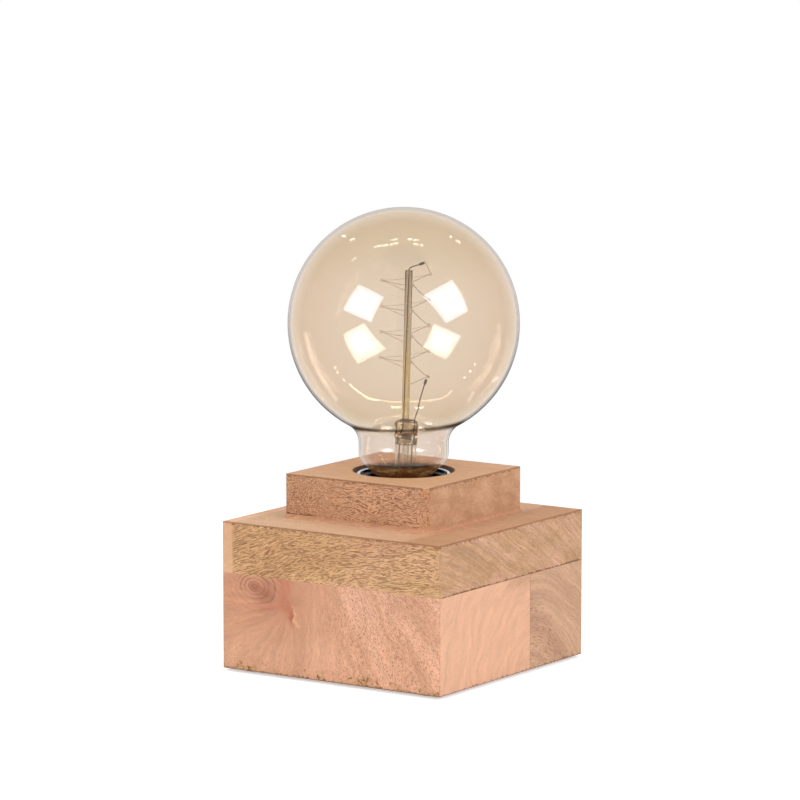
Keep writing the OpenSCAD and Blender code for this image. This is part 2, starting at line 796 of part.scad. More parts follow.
// Fixed end of the spring strip, riveted to the floor of the well
module contact_foot() {
    color(brass) difference() {
        translate([-tongue_x - seat - tongue_t - foot_l, -tongue_w / 2, well_z + seat])
            cube([foot_l, tongue_w, tongue_t]);
        on_rivet() translate([0, 0, well_z - cut]) cylinder(r = rivet_r + seat, h = 3 * cut);
    }
}

module foot_rivet() {
    foot_top_z = well_z + seat + tongue_t;
    tail_end_z = insert_z + floor_t;
    color(brass) on_rivet() {
        translate([0, 0, tail_end_z]) cylinder(r = rivet_r, h = foot_top_z - tail_end_z);
        translate([0, 0, foot_top_z]) cylinder(r = rivet_r * 1.5, h = rivet_head_h);
    }
}

// Moving part of the strip: it climbs from its bend to the bulb's contact
module contact_tongue() {
    bend_z = well_z + seat + tongue_t / 2;
    color(brass) rotate([90, 0, 0]) linear_extrude(height = tongue_w, center = true) union() {
        translate([-tongue_x, bend_z]) circle(d = tongue_t);
        polygon([
            [-tongue_x, bend_z - tongue_t / 2],
            [-contact_d / 4, tongue_z],
            [contact_d / 4, tongue_z],
            [contact_d / 4, tongue_z + tongue_t],
            [-contact_d / 4 - tongue_t / 2, tongue_z + tongue_t],
            [-tongue_x, bend_z + tongue_t / 2],
        ]);
    }
}

// Threaded pipe that ties the cup to the wood and carries the wires
module nipple() {
    color(brass) tube(nipple_d / 2, nipple_bore_d / 2,
        recess_z - washer_t - nut_h - nipple_down, cup_floor_z + nipple_up);
}

// Hexagon nut with its lower face at z
module hex_nut(z) {
    color(steel) translate([0, 0, z]) difference() {
        cylinder(d = nut_af / cos(30), h = nut_h, $fn = 6);
        translate([0, 0, -cut]) cylinder(d = nipple_d + 2 * seat, h = nut_h + 2 * cut);
    }
}

module cup_nut() {
    hex_nut(cup_floor_z);
}

module web_nut() {
    hex_nut(recess_z - washer_t - nut_h);
}

module web_washer() {
    color(steel) tube(washer_d / 2, nipple_d / 2 + seat, recess_z - washer_t, recess_z);
}

// Contact of solder under the cap, with a round edge
module cap_contact() {
    r = contact_d / 2;
    edge = contact_h / 2;
    color(steel) rotate_extrude() {
        translate([0, seat_z]) square([r - edge, contact_h]);
        translate([0, seat_z + edge]) square([r, contact_h - edge]);
        intersection() {
            translate([r - edge, seat_z + edge]) circle(r = edge);
            translate([0, seat_z]) square([r, contact_h]);
        }
    }
}

// Black glass that closes the cap round the contact
module cap_insulator() {
    hole_r = lead_r + slack;
    inner_r = cap_in_r - slack;
    throat_in_r = shell_lip_r - slack;
    ledge_z = cap_z + cap_t + slack;
    color(black) rotate_extrude() polygon([
        [hole_r, insulator_z], [contact_d / 2 + slack, insulator_z],
        [throat_in_r, cap_z - slack], [throat_in_r, ledge_z],
        [inner_r, ledge_z], [inner_r, ledge_z + contact_h], [hole_r, cap_z + contact_h],
    ]);
}

// Brass cap, turned in under the insulator and flared at its mouth
module cap_shell() {
    color(brass) rotate_extrude() {
        translate([cap_in_r, cap_z]) square([cap_t, cap_top_z - cap_z]);
        translate([shell_lip_r, cap_z]) square([cap_r - shell_lip_r, cap_t]);
        translate([cap_r, cap_top_z - cap_t]) circle(r = cap_t);
    }
}

module cap_cement() {
    color([0.86, 0.83, 0.76])
        tube(cap_in_r - seat / 2, tail_r + seat / 2, tail_z + slack, cap_top_z - slack);
}

// Half section of the bulb's outer form, shrunk by t all over
module glass_form(t) {
    out = [cos(shoulder_angle), -sin(shoulder_angle)];
    shoulder_c = [shoulder_x, shoulder_z];
    tail_c = [tail_bend_x, tail_bend_z];
    shoulder_end = shoulder_c + (shoulder_r - t) * out;
    tail_end = tail_c - (tail_blend_r + t) * out;
    difference() {
        union() {
            intersection() {
                translate([0, globe_z]) circle(r = globe_r - t);
                translate([0, globe_z - globe_r]) square([globe_r, globe_d]);
            }
            polygon([[0, blend_z], [blend_x, blend_z], [0, globe_z]]);
            translate([0, shoulder_z]) square([neck_r - t, blend_z - shoulder_z]);
            intersection() {
                translate(shoulder_c) circle(r = shoulder_r - t);
                translate([0, tail_bend_z]) square([neck_r, shoulder_z - tail_bend_z]);
            }
            polygon([
                [0, tail_bend_z], tail_c, tail_end, shoulder_end, shoulder_c, [0, shoulder_z],
            ]);
            translate([0, tail_z - (t > 0 ? cut : 0)])
                square([tail_r - t, tail_bend_z - tail_z + (t > 0 ? cut : 0)]);
        }
        translate([blend_x, blend_z]) circle(r = throat_blend_r + t);
        translate(tail_c) circle(r = tail_blend_r + t);
    }
}

// Blown glass: globe, neck, shoulder and the tail that stands in the cap
module glass_envelope() {
    color(amber) rotate_extrude() difference() {
        glass_form(0);
        glass_form(glass_t);
    }
}

// Places what is drawn beside the stem's own axis
module on_stem() {
    rotate([0, 0, mount_turn]) translate([0, 0, flare_z]) rotate([0, stem_lean, 0]) children();
}

// Places what is drawn beside the support tube's own axis
module on_support() {
    rotate([0, 0, mount_turn]) translate([support_x, 0, press_top_z])
        rotate([0, support_lean, 0]) children();
}

// Glass tube of the stem with its flare
module stem_tube() {
    bend_x = stem_r + flare_r;
    rim_in_r = min(flare_rim_r - stem_t, bend_x - 2 * slack);
    color(clear) on_stem() rotate_extrude() {
        translate([stem_r - stem_t, flare_r])
            square([stem_t, press_foot_h - flare_r - seat]);
        difference() {
            intersection() {
                translate([bend_x, flare_r]) circle(r = flare_r + stem_t);
                translate([stem_r - stem_t, 0]) square([flare_r + stem_t, flare_r]);
            }
            translate([bend_x, flare_r]) circle(r = flare_r);
        }
        translate([rim_in_r, -stem_t]) square([flare_rim_r - rim_in_r, stem_t]);
    }
}

// Press: the pinched end of the stem, round on top, that grips the leads and the support tube
module stem_press() {
    head_r = press_t / 2;
    head_x = press_w / 2 - head_r;
    waist_r = press_t * 0.44;
    waist_x = press_w / 2 - waist_r * 1.23;
    waist_z = stem_h - press_h * 0.42;
    hip_z = stem_h - press_h * 0.72;
    color([0.72, 0.60, 0.52, 0.6]) difference() {
        on_stem() union() {
            hull() for (x = [-1, 1]) {
                translate([x * head_x, 0, stem_h - head_r]) sphere(r = head_r, $fn = 24);
                translate([x * waist_x, 0, waist_z]) sphere(r = waist_r, $fn = 24);
            }
            hull() {
                for (x = [-1, 1]) {
                    translate([x * waist_x, 0, waist_z]) sphere(r = waist_r, $fn = 24);
                    translate([x * head_x, 0, hip_z]) sphere(r = head_r - slack, $fn = 24);
                }
                translate([0, 0, press_foot_h]) cylinder(r = stem_r, h = press_collar_h, $fn = 32);
            }
        }
        on_support() translate([0, 0, -press_sink]) cylinder(d = support_d + 2 * seat, h = press_h);
        rotate([0, 0, mount_turn]) {
            wire(long_lead_path, lead_r + seat);
            wire(short_lead_path, lead_r + seat);
        }
    }
}

// Stub of the tube that the bulb was emptied through, melted shut at its lower end
module exhaust_tube() {
    stub_h = flare_z + press_foot_h - exhaust_end_z;
    color(clear) on_stem() translate([0, 0, press_foot_h - stub_h - seat]) rotate_extrude() {
        difference() {
            union() {
                translate([0, exhaust_r]) square([exhaust_r, stub_h - exhaust_r]);
                intersection() {
                    translate([0, exhaust_r]) circle(r = exhaust_r);
                    square([exhaust_r, exhaust_r]);
                }
            }
            translate([0, 2 * exhaust_r]) square([exhaust_bore_r, stub_h]);
        }
    }
}

// Glass tube that carries the hooks, open at its top
module support_tube() {
    color([0.74, 0.66, 0.52, 0.7]) on_support()
        tube(support_d / 2, support_bore_d / 2, seat - press_sink, support_h);
}

// Lead that climbs inside the support tube and bends out over its end
module long_lead() {
    color(wire_grey) rotate([0, 0, mount_turn]) wire(long_lead_path, lead_r);
}

// Lead that stands beside the support tube
module short_lead() {
    color(wire_grey) rotate([0, 0, mount_turn]) wire(short_lead_path, lead_r);
}

// Clamp crimped round the end of a lead, along the lead's last stretch
module lead_clamp(path) {
    last = len(path) - 1;
    along = heading(path, last);
    tip = path[last] + clamp_over * along;
    difference() {
        wire([tip - clamp_l * along, tip], clamp_d / 2);
        wire([tip - (clamp_l + cut) * along, path[last] + seat * along], lead_r + seat);
    }
}

module lead_clamps() {
    color(wire_grey) rotate([0, 0, mount_turn]) {
        lead_clamp(long_lead_path);
        lead_clamp(short_lead_path);
    }
}

// One hook: a straight wire out of the support tube with a loop on its end
module hook(i) {
    a = hook_angle(i);
    out = [cos(a), sin(a)];
    across = [-sin(a), cos(a), 0];
    root_r = support_d / 2 + hook_wire_r * 0.7 + seat;
    low = hook_level(i) - hook_rise;
    start_r = wind_r - loop_r;
    turn_steps = 8;
    path = concat(
        [by_support(root_r * out.x, root_r * out.y, low)],
        [for (k = [0:turn_steps])
            let (b = 200 + 300 * k / turn_steps, x = wind_r + loop_r * cos(b))
            by_support(x * out.x, x * out.y, hook_level(i) + loop_r * sin(b))]
    );
    wire(path, hook_wire_r, across, 6);
}

module support_hooks() {
    color(wire_grey) rotate([0, 0, mount_turn]) for (i = [0:hooks_n - 1]) {
        hook(i);
    }
}

// Thin coiled wire, drawn as its outer round, that passes through every loop
module filament() {
    color([0.45, 0.35, 0.25]) rotate([0, 0, mount_turn])
        wire(filament_path, filament_r, [0, 0, 1], 6);
}

lower_front_board();
lower_rear_board();
middle_plate();
top_block();
base_cover();
cover_screws();
felt_pads();
cord_bush();
socket_cup();
cup_liner();
holder_insert();
screw_shell();
insert_screws();
shell_terminal();
contact_terminal();
terminal_screws();
contact_foot();
foot_rivet();
contact_tongue();
nipple();
cup_nut();
web_washer();
web_nut();
cap_contact();
cap_insulator();
cap_shell();
cap_cement();
glass_envelope();
stem_tube();
stem_press();
exhaust_tube();
support_tube();
long_lead();
short_lead();
lead_clamps();
support_hooks();
filament();
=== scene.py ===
import json
import math

import bmesh
import bpy
from bpy.props import FloatProperty, IntProperty, PointerProperty
from mathutils import Matrix, Vector

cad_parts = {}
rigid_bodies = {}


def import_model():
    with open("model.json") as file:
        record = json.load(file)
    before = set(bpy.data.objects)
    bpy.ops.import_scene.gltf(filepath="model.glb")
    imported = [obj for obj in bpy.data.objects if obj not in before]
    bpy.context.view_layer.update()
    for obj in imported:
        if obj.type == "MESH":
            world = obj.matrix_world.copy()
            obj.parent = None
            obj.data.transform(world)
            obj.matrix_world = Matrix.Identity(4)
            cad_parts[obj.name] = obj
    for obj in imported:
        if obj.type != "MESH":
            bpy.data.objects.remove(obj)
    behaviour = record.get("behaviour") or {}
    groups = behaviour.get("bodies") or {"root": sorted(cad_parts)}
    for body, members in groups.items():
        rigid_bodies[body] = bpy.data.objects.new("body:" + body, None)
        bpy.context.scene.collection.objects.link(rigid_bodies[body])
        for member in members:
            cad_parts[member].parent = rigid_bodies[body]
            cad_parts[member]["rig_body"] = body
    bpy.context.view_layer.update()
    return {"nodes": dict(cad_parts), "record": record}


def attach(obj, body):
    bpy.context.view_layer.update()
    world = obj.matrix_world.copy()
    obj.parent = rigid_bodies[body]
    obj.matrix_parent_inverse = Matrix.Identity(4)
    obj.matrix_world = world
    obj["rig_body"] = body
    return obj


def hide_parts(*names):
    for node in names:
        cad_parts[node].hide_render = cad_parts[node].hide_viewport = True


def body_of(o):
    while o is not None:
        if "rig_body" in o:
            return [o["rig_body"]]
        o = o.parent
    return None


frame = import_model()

bl_info = {
    "name": "Bare bulb table lamp",
    "version": (1, 0, 0),
    "blender": (4, 5, 0),
    "location": "3D View > Sidebar > Lamp",
    "description": "Builds a table lamp: a bare globe bulb in a stepped block of glued wood",
    "category": "Add Mesh",
}

MM = 0.001
NODES = frame["nodes"]
SLOTS = {p["node"]: p["material_slot"] for p in frame["record"]["subparts"]}

# Levels and sizes of the solids, in millimetres and degrees. The wood:
BLOCK, TOP, EDGE_R = 141.0, 92.5, 0.8
LOWER_Z, PLATE_Z, FLAT_Z, TOP_Z, WOOD_Z = 1.5, 54.0, 81.8, 85.0, 106.5
JOINT_Y = 17.0
# The cup, its liner and the screw shell
POCKET_Z, RIM_Z, CUP_R, CUP_T, RIM_T = 40.0, 105.2, 24.35, 0.8, 2.0
FLOOR_Z, FLOOR_R, NIPPLE_HOLE_R = 40.8, 2.0, 5.1
LINER_R, LINER_T, LINER_Z, LINER_BEND_Z, THROAT_R, THROAT_T = 23.4, 1.2, 102.8, 96.8, 15.5, 1.6
SEAT_Z = 71.1
SHELL_IN_R, SHELL_T, SHELL_H, SHELL_Z = 13.25, 0.4, 22.0, SEAT_Z + 1.8
SHELL_THREAD_Z = SEAT_Z + 2.6, SEAT_Z + 18.5
# The bulb's cap and contact
INSULATOR_Z = SEAT_Z + 1.2
CAP_Z, CAP_TOP_Z = INSULATOR_Z + 3.0, SEAT_Z + 27.0
CAP_R, CAP_T, CONTACT_R = 13.17, 0.35, 4.75
CAP_THREAD_Z = CAP_Z + 0.9, SEAT_Z + 19.8
CAP_ROOT_Z, CAP_NECK_Z, CAP_BAND_Z = SEAT_Z + 24.0, SEAT_Z + 24.8, SEAT_Z + 25.4
PITCH, THREAD_H = 3.629, 0.385
# The blown glass: globe, neck, shoulder and tail
GLOBE_R, GLASS_T, NECK_R, NECK_L = 62.5, 0.8, 24.25, 5.5
BLEND_R, SHOULDER_R, SHOULDER_ANGLE = 12.0, 7.0, 45.0
TAIL_R, TAIL_DEPTH = 12.2, 7.0
# The mount in it, which stands turned about the axis: stem, press, support tube, leads, hooks
# and filament
TURN = 34.0
STEM_R, STEM_T, STEM_H, FLARE_R, STEM_LEAN = 5.9, 0.9, 43.0, 5.5, 2.3
PRESS_H = 13.5
SUPPORT_R, SUPPORT_BORE_R, SUPPORT_H, SUPPORT_X, SUPPORT_LEAN = 2.0, 1.4, 80.8, 0.9, 1.35
SUPPORT_FOOT = 1.95
LEAD_R, SHORT_H, SHORT_X, CLAMP_R, CLAMP_L = 0.32, 21.3, 10.6, 0.75, 3.0
WIND_R, WIND_PITCH, HOOKS, HOOKS_PER_TURN, HOOK_START = 15.0, 13.9, 13, 3, 40.0
HOOK_TOP, HOOK_RISE, HOOK_WIRE_R, LOOP_R = 0.5, 5.8, 0.16, 0.8
FILAMENT_R, FILAMENT_WIRE_R, COIL_STEPS, SAG = 0.2, 0.06, 8, 0.7

SHOULDER_X = NECK_R - SHOULDER_R
TAIL_BEND_X = TAIL_R + SHOULDER_R
SLANT = math.radians(SHOULDER_ANGLE)
SHOULDER_Z = CAP_TOP_Z + (((SHOULDER_X - TAIL_BEND_X) * math.cos(SLANT) + 2 * SHOULDER_R)
                          / math.sin(SLANT))
BLEND_X = NECK_R + BLEND_R
BLEND_Z = SHOULDER_Z + NECK_L
GLOBE_Z = BLEND_Z + math.sqrt((GLOBE_R + BLEND_R) ** 2 - BLEND_X ** 2)
TAIL_Z = CAP_TOP_Z - TAIL_DEPTH
FLARE_Z = TAIL_Z + 0.3
PRESS_TOP_Z = FLARE_Z + STEM_H
NECK_TOP = BLEND_Z + 7.0
RING_Z = GLOBE_Z - (GLOBE_Z - BLEND_Z) * GLOBE_R / (GLOBE_R + BLEND_R)

# Where the leads stand under the press, the press's foot, and how far the long lead lies off the
# middle of the support tube
UNDER_X = 3.4
FOOT_H = STEM_H - PRESS_H
LEAN_X = SUPPORT_BORE_R - LEAD_R - 0.1

# Edges sharper than this many degrees stay sharp, on new pieces and on copies of CAD nodes
SMOOTH_ANGLE, COPY_ANGLE = 40, 32
WHITE = (1.0, 1.0, 1.0, 1.0)
WARM_LIGHT, COOL_LIGHT = (1.0, 0.985, 0.96, 1.0), (0.74, 0.84, 1.0, 1.0)


# ---------------------------------------------------------------- meshes

def mesh_object(name, part, node, material=None, angle=SMOOTH_ANGLE):
    """Piece of (verts, faces) in millimetres that stands for a CAD node."""
    mesh = bpy.data.meshes.new(name)
    mesh.from_pydata([[c * MM for c in v] for v in part[0]], [], part[1])
    bm = bmesh.new()
    bm.from_mesh(mesh)
    bmesh.ops.recalc_face_normals(bm, faces=bm.faces)
    bm.to_mesh(mesh)
    bm.free()
    finish_piece(name, mesh, node, material, angle)


def finish_piece(name, mesh, node, material, angle):
    """Smooth shaded piece on the body of its node, with the finish of the node's slot unless
    another is given."""
    mesh.shade_smooth()
    mesh.set_sharp_from_angle(angle=math.radians(angle))
    mesh.materials.clear()
    mesh.materials.append(material or paint(SLOTS[node]))
    obj = bpy.data.objects.new(name, mesh)
    bpy.context.scene.collection.objects.link(obj)
    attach(obj, body_of(NODES[node])[0])
    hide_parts(node)
    return obj


def join(parts):
    """Several (verts, faces) as one."""
    verts, faces = [], []
    for v, f in parts:
        n = len(verts)
        verts += v
        faces += [[i + n for i in face] for face in f]
    return verts, faces


def moved(part, matrix):
    """(verts, faces) put in its place."""
    return [tuple(matrix @ Vector(v)) for v in part[0]], part[1]


def tube_faces(rings, sides):
    """Faces between rings that follow each other in the vertices."""
    faces = []
    for i in range(rings - 1):
        for k in range(sides):
            a, b = i * sides + k, i * sides + (k + 1) % sides
            faces.append((a, b, b + sides, a + sides))
    return faces


def tube_ends(rings, sides):
    """Faces that close the first and the last of the rings."""
    return [list(range(sides))[::-1], [(rings - 1) * sides + k for k in range(sides)]]


def lathe(profile, segments=128, close=True):
    """Turned surface. A point is (radius, level) or (radius, level, height of the thread)."""
    verts, rings = [], []
    for p in profile:
        r, z = p[0], p[1]
        a = p[2] if len(p) > 2 else 0.0
        if r < 1e-6:
            rings.append([len(verts)])
            verts.append((0.0, 0.0, z))
            continue
        rings.append(list(range(len(verts), len(verts) + segments)))
        for k in range(segments):
            t = 2 * math.pi * k / segments
            q = r + a * math.cos(2 * math.pi * (z - SEAT_Z) / PITCH - t) if a else r
            verts.append((q * math.cos(t), q * math.sin(t), z))
    faces = []
    pairs = list(zip(rings, rings[1:])) + ([(rings[-1], rings[0])] if close else [])
    for a, b in pairs:
        for k in range(segments):
            j = (k + 1) % segments
            if len(a) > 1 and len(b) > 1:
                faces.append((a[k], a[j], b[j], b[k]))
            elif len(b) > 1:
                faces.append((a[0], b[j], b[k]))
            elif len(a) > 1:
                faces.append((a[k], a[j], b[0]))
    return verts, faces


def arc(x, z, r, start, end, n):
    """Points of an arc about (x, z), between two angles in degrees."""
    return [(x + r * math.cos(math.radians(start + (end - start) * i / n)),
             z + r * math.sin(math.radians(start + (end - start) * i / n))) for i in range(n + 1)]


def sweep(points, radius, sides=12):
    """Round wire along points with closed ends. radius is a number, or a function of how far
    along a point is, from 0 to 1."""
    pts = [Vector(p) for p in points]
    verts = []
    last = len(pts) - 1
    side = None
    for i, p in enumerate(pts):
        t = (pts[min(i + 1, last)] - pts[max(i - 1, 0)]).normalized()
        if side is None:
            side = t.orthogonal().normalized()
        side = (side - t * side.dot(t)).normalized()
        other = t.cross(side)
        r = radius(i / last) if callable(radius) else radius
        for k in range(sides):
            a = 2 * math.pi * k / sides
            verts.append(tuple(p + r * (math.cos(a) * side + math.sin(a) * other)))
    return verts, tube_faces(len(pts), sides) + tube_ends(len(pts), sides)


def smooth_path(points, steps=6):
    """Smooth curve through the points, with steps from each to the next."""
    pts = [Vector(p) for p in points]
    pts = [2 * pts[0] - pts[1]] + pts + [2 * pts[-1] - pts[-2]]
    out = []
    for a, b, c, d in zip(pts, pts[1:], pts[2:], pts[3:]):
        for s in range(steps):
            t = s / steps
            out.append(0.5 * ((2 * b) + (c - a) * t + (2 * a - 5 * b + 4 * c - d) * t * t
                              + (3 * b - a - 3 * c + d) * t ** 3))
    return out + [pts[-2]]


def outer_edges(bm, half, level):
    """The upright edges of a square block of this half width, and those round it at level."""
    near = 1e-5
    half, level = half * MM, level * MM

    def side(a, b, axis):
        return abs(a[axis] - b[axis]) < near and abs(abs(a[axis]) - half) < near

    picked = []
    for edge in bm.edges:
        a, b = (v.co for v in edge.verts)
        across = side(a, b, 0), side(a, b, 1)
        if all(across) or (any(across) and abs(a.z - level) < near and abs(b.z - level) < near):
            picked.append(edge)
    return picked


def node_copy(node, name, material=None, worn=None):
    """Smoothly shaded copy of a CAD node, its corners merged. worn is the half width and the
    level of a block whose outer edges are rounded."""
    mesh = NODES[node].data.copy()
    mesh.name = name
    bm = bmesh.new()
    bm.from_mesh(mesh)
    bmesh.ops.remove_doubles(bm, verts=bm.verts, dist=1e-6)
    if worn:
        bmesh.ops.bevel(bm, geom=outer_edges(bm, *worn), offset=EDGE_R * MM, offset_type="OFFSET",
                        segments=3, profile=0.5, affect="EDGES", clamp_overlap=True)
    bm.to_mesh(mesh)
    bm.free()
    for key in [a.name for a in mesh.attributes if a.name.startswith("custom_normal")]:
        mesh.attributes.remove(mesh.attributes[key])
    obj = finish_piece(name, mesh, node, material, COPY_ANGLE)
    obj.modifiers.new("weighted", "WEIGHTED_NORMAL").keep_sharp = True
    # the glass mirrors the white studio and the holder only
    obj.visible_glossy = False


# ---------------------------------------------------------------- shader building

def colour(r, g, b):
    """Linear colour of an sRGB colour given in 0 to 255."""
    linear = [c / 3294.6 if c <= 10 else ((c / 255 + 0.055) / 1.055) ** 2.4 for c in (r, g, b)]
    return (*linear, 1.0)


def maths(op, swapped=False):
    """Method that adds a math node for a sum of values."""
    if swapped:
        return lambda a, b: a.tree.math(op, b, a)
    return lambda a, b=None: a.tree.math(op, a, b)


class Value:
    """An output in a tree, which can stand in sums as a number does."""
    __add__, __radd__ = maths("ADD"), maths("ADD", True)
    __sub__, __rsub__ = maths("SUBTRACT"), maths("SUBTRACT", True)
    __mul__, __rmul__ = maths("MULTIPLY"), maths("MULTIPLY", True)
    __pow__, __rpow__ = maths("POWER"), maths("POWER", True)
    __truediv__, __abs__ = maths("DIVIDE"), maths("ABSOLUTE")

    def __init__(self, tree, socket):
        self.tree, self.socket = tree, socket

    def __neg__(self):
        return self * -1.0


class Tree:
    """Adds nodes to a tree in one line each. Places are in millimetres."""

    def __init__(self, tree):
        self.tree = tree
        tree.nodes.clear()

    def feed(self, socket, value):
        if isinstance(value, Value):
            self.tree.links.new(value.socket, socket)
        elif value is not None:
            socket.default_value = value

    def put(self, kind, *values, **more):
        """A node. Values feed its first inputs, a keyword with a capital feeds the input of that
        name, and another keyword sets a property."""
        node = self.tree.nodes.new(kind)
        for key, value in more.items():
            if key[0].islower():
                setattr(node, key, value)
        for i, value in enumerate(values):
            self.feed(node.inputs[i], value)
        for key, value in more.items():
            if key[0].isupper():
                self.feed(node.inputs[key.replace("_", " ")], value)
        return node

    def get(self, kind, *values, out=0, **more):
        """One output of a new node."""
        return Value(self, self.put(kind, *values, **more).outputs[out])

    def math(self, op, a, b=None):
        return self.get("ShaderNodeMath", a, b, operation=op)

    def max(self, a, b):
        return self.math("MAXIMUM", a, b)

    def min(self, a, b):
        return self.math("MINIMUM", a, b)

    def hypot(self, a, b):
        return self.math("SQRT", a * a + b * b)

    def bell(self, v, centre, width):
        """1 at centre, falling off over width."""
        d = (v - centre) / width
        return 2.718 ** -(d * d)

    def vmath(self, op, a, b=None):
        return self.get("ShaderNodeVectorMath", a, b, operation=op,
                        out=1 if op in ("DOT_PRODUCT", "LENGTH") else 0)

    def stretch(self, v, by):
        return self.vmath("MULTIPLY", v, by)

    def scale(self, v, by):
        return self.get("ShaderNodeVectorMath", v, operation="SCALE", Scale=by)

    def mix(self, share, a, b, blend="MIX"):
        node = self.put("ShaderNodeMix", share, data_type="RGBA", blend_type=blend)
        self.feed(node.inputs[6], a)
        self.feed(node.inputs[7], b)
        return Value(self, node.outputs[2])

    def range(self, v, a, b, c=0.0, d=1.0, smooth=True):
        """From c to d as v goes from a to b."""
        return self.get("ShaderNodeMapRange", v, a, b, c, d,
                        interpolation_type="SMOOTHSTEP" if smooth else "LINEAR")

    def noise(self, vec, scale=1.0, detail=2.0, rough=0.5, distort=0.0, out="Fac"):
        return self.get("ShaderNodeTexNoise", Vector=vec, Scale=scale, Detail=detail,
                        Roughness=rough, Distortion=distort, out=out)

    def ramp(self, share, *tones):
        """Colour between tones that stand at even steps."""
        node = self.put("ShaderNodeValToRGB", share)
        elements = node.color_ramp.elements
        while len(elements) < len(tones):
            elements.new(0.5)
        for i, tone in enumerate(tones):
            elements[i].position = i / (len(tones) - 1)
            elements[i].color = tone
        return Value(self, node.outputs[0])

    def split(self, v, kind="ShaderNodeSeparateXYZ"):
        return [Value(self, part) for part in self.put(kind, v).outputs[:3]]

    def vec(self, x, y, z):
        return self.get("ShaderNodeCombineXYZ", x, y, z)

    def here(self):
        """Object coordinates in millimetres."""
        return self.scale(self.get("ShaderNodeTexCoord", out="Object"), 1000.0)

    def surface(self, base, rough, metal, bump, depth, **extra):
        """Principled surface with a bump whose depth is in millimetres."""
        normal = self.get("ShaderNodeBump", Strength=1.0, Distance=depth * MM, Height=bump)
        shader = self.get("ShaderNodeBsdfPrincipled", Base_Color=base, Roughness=rough,
                          Metallic=metal, Normal=normal, **extra)
        self.put("ShaderNodeOutputMaterial", shader)


def new_material(name, kind=Tree, *values):
    material = bpy.data.materials.new(name)
    material.use_nodes = True
    return material, kind(material.node_tree, *values)


# ---------------------------------------------------------------- wood

class Wood(Tree):
    """Tree of a block of wood, with its place in millimetres, three slow noises that bend its
    figure, and its colour so far."""

    def __init__(self, tree, wobble):
        super().__init__(tree)
        self.p = self.here()
        self.at = self.split(self.p)
        slow = self.noise(self.scale(self.p, wobble), out="Color")
        self.bend = self.split(self.vmath("SUBTRACT", slow, (0.5, 0.5, 0.5)))
        self.base = None

    def stain(self, share, *rgb):
        self.base = self.mix(share, self.base, colour(*rgb))

    def shade(self, amount):
        """Makes the colour so far lighter or darker."""
        factor = amount + 1.0
        grey = self.get("ShaderNodeCombineColor", factor, factor, factor)
        self.base = self.mix(1.0, self.base, grey, "MULTIPLY")

    def fibres(self, q, streak, *tones):
        """Slow change of tone along the grain. Gives the shade of the fibres and the fine ones."""
        slow = self.noise(self.stretch(q, (0.012, 0.03, 0.03)), 1.0, 2.0, 0.55)
        self.base = self.ramp(self.range(slow, 0.32, 0.68), *tones)
        fibre = self.noise(self.stretch(q, (0.03, 0.9, 0.9)), 1.0, 3.0, 0.6)
        fine = self.noise(self.stretch(q, (0.12, 2.6, 2.6)), 1.0, 2.0, 0.6)
        return (fibre - 0.5) * streak + (fine - 0.5) * (streak * 0.8), fine

    def pores(self, q, stretch, low, high):
        return self.range(self.noise(self.stretch(q, stretch), 1.0, 1.5, 0.45), low, high)

    def fan(self, x, z, cx, cz, spread, along):
        """Fibres that spread out from a point: noise coordinates across them and along them."""
        dx, dz = x - cx, z - cz
        return self.math("ARCTAN2", dx, -dz) * spread, self.hypot(dx, dz) * along

    def end_dashes(self, r, fine):
        """Short dark dashes along the rings of end grain."""
        _, y, z = self.at
        along = (y - z) * 0.7
        return self.range(self.noise(self.vec(r * fine, along * 0.22, 0.0), 1.0, 1.5), 0.54, 0.68)

    def broken_foot(self, side):
        """Chipped, yellowish wood along the lower edge."""
        z = self.at[2]
        rough = self.noise(self.p, 0.35, 3.0, 0.7)
        height = self.range(self.noise(self.p, 0.07, 1.0), 0.42, 0.62, 0.5, 5.5)
        near = self.range(z - LOWER_Z - height, 1.6, -0.6)
        near = near * self.range(z, LOWER_Z + 0.02, LOWER_Z + 0.15) * side
        self.stain(near * self.range(rough, 0.4, 0.55, 0.0, 0.7), 200, 154, 106)
        self.stain(near * self.range(rough, 0.54, 0.64, 0.0, 0.9), 126, 84, 54)

    def worn_edges(self, half, level):
        """Thin brown lines along the upright edges and those at level, chipped here and there."""
        x, y, z = self.at
        rough = self.noise(self.p, 0.45, 3.0, 0.6)
        line = self.range(self.hypot(abs(x) - half, abs(y) - half) + rough * 0.8, 1.35, 0.75)
        self.stain(line * 0.75, 142, 92, 60)
        chips = self.range(rough, 0.50, 0.62)
        line = self.range(abs(z - level) - chips * 0.9, 0.95, 0.35)
        beside = self.max(self.range(abs(x), half - 1.4, half - 0.8),
                          self.range(abs(y), half - 1.4, half - 0.8))
        self.stain(line * beside * 0.72, 132, 84, 54)

    def seam(self, level, side, strength):
        """Dark chipped line of a glue joint, broken by noise, where side is 1."""
        width = self.range(self.noise(self.p, 0.30, 3.0, 0.65), 0.36, 0.66, 0.12, 0.95)
        line = self.range(abs(self.at[2] - level) - width, 0.25, -0.1) * side
        self.stain(line * strength, 112, 70, 44)

    def seam_upright(self):
        rough = self.noise(self.p, 0.25, 3.0, 0.65)
        line = self.range(self.at[1] - JOINT_Y - rough * 0.5, 0.5, 0.0)
        self.stain(line * 0.35, 140, 92, 66)


def wood_material(name, build, wobble):
    """Wood of one block. build paints its colour and gives its bump."""
    material, t = new_material(name, Wood, wobble)
    bump, rough = build(t, t.at, t.bend)
    mottle = t.noise(t.p, 1.25, 3.0, 0.75)
    t.shade((mottle - 0.5) * 0.42)
    depth = bpy.context.scene.lamp_wood.pore_depth / MM
    t.surface(t.base, rough, 0.0, bump, depth, Specular_IOR_Level=0.25)
    return material


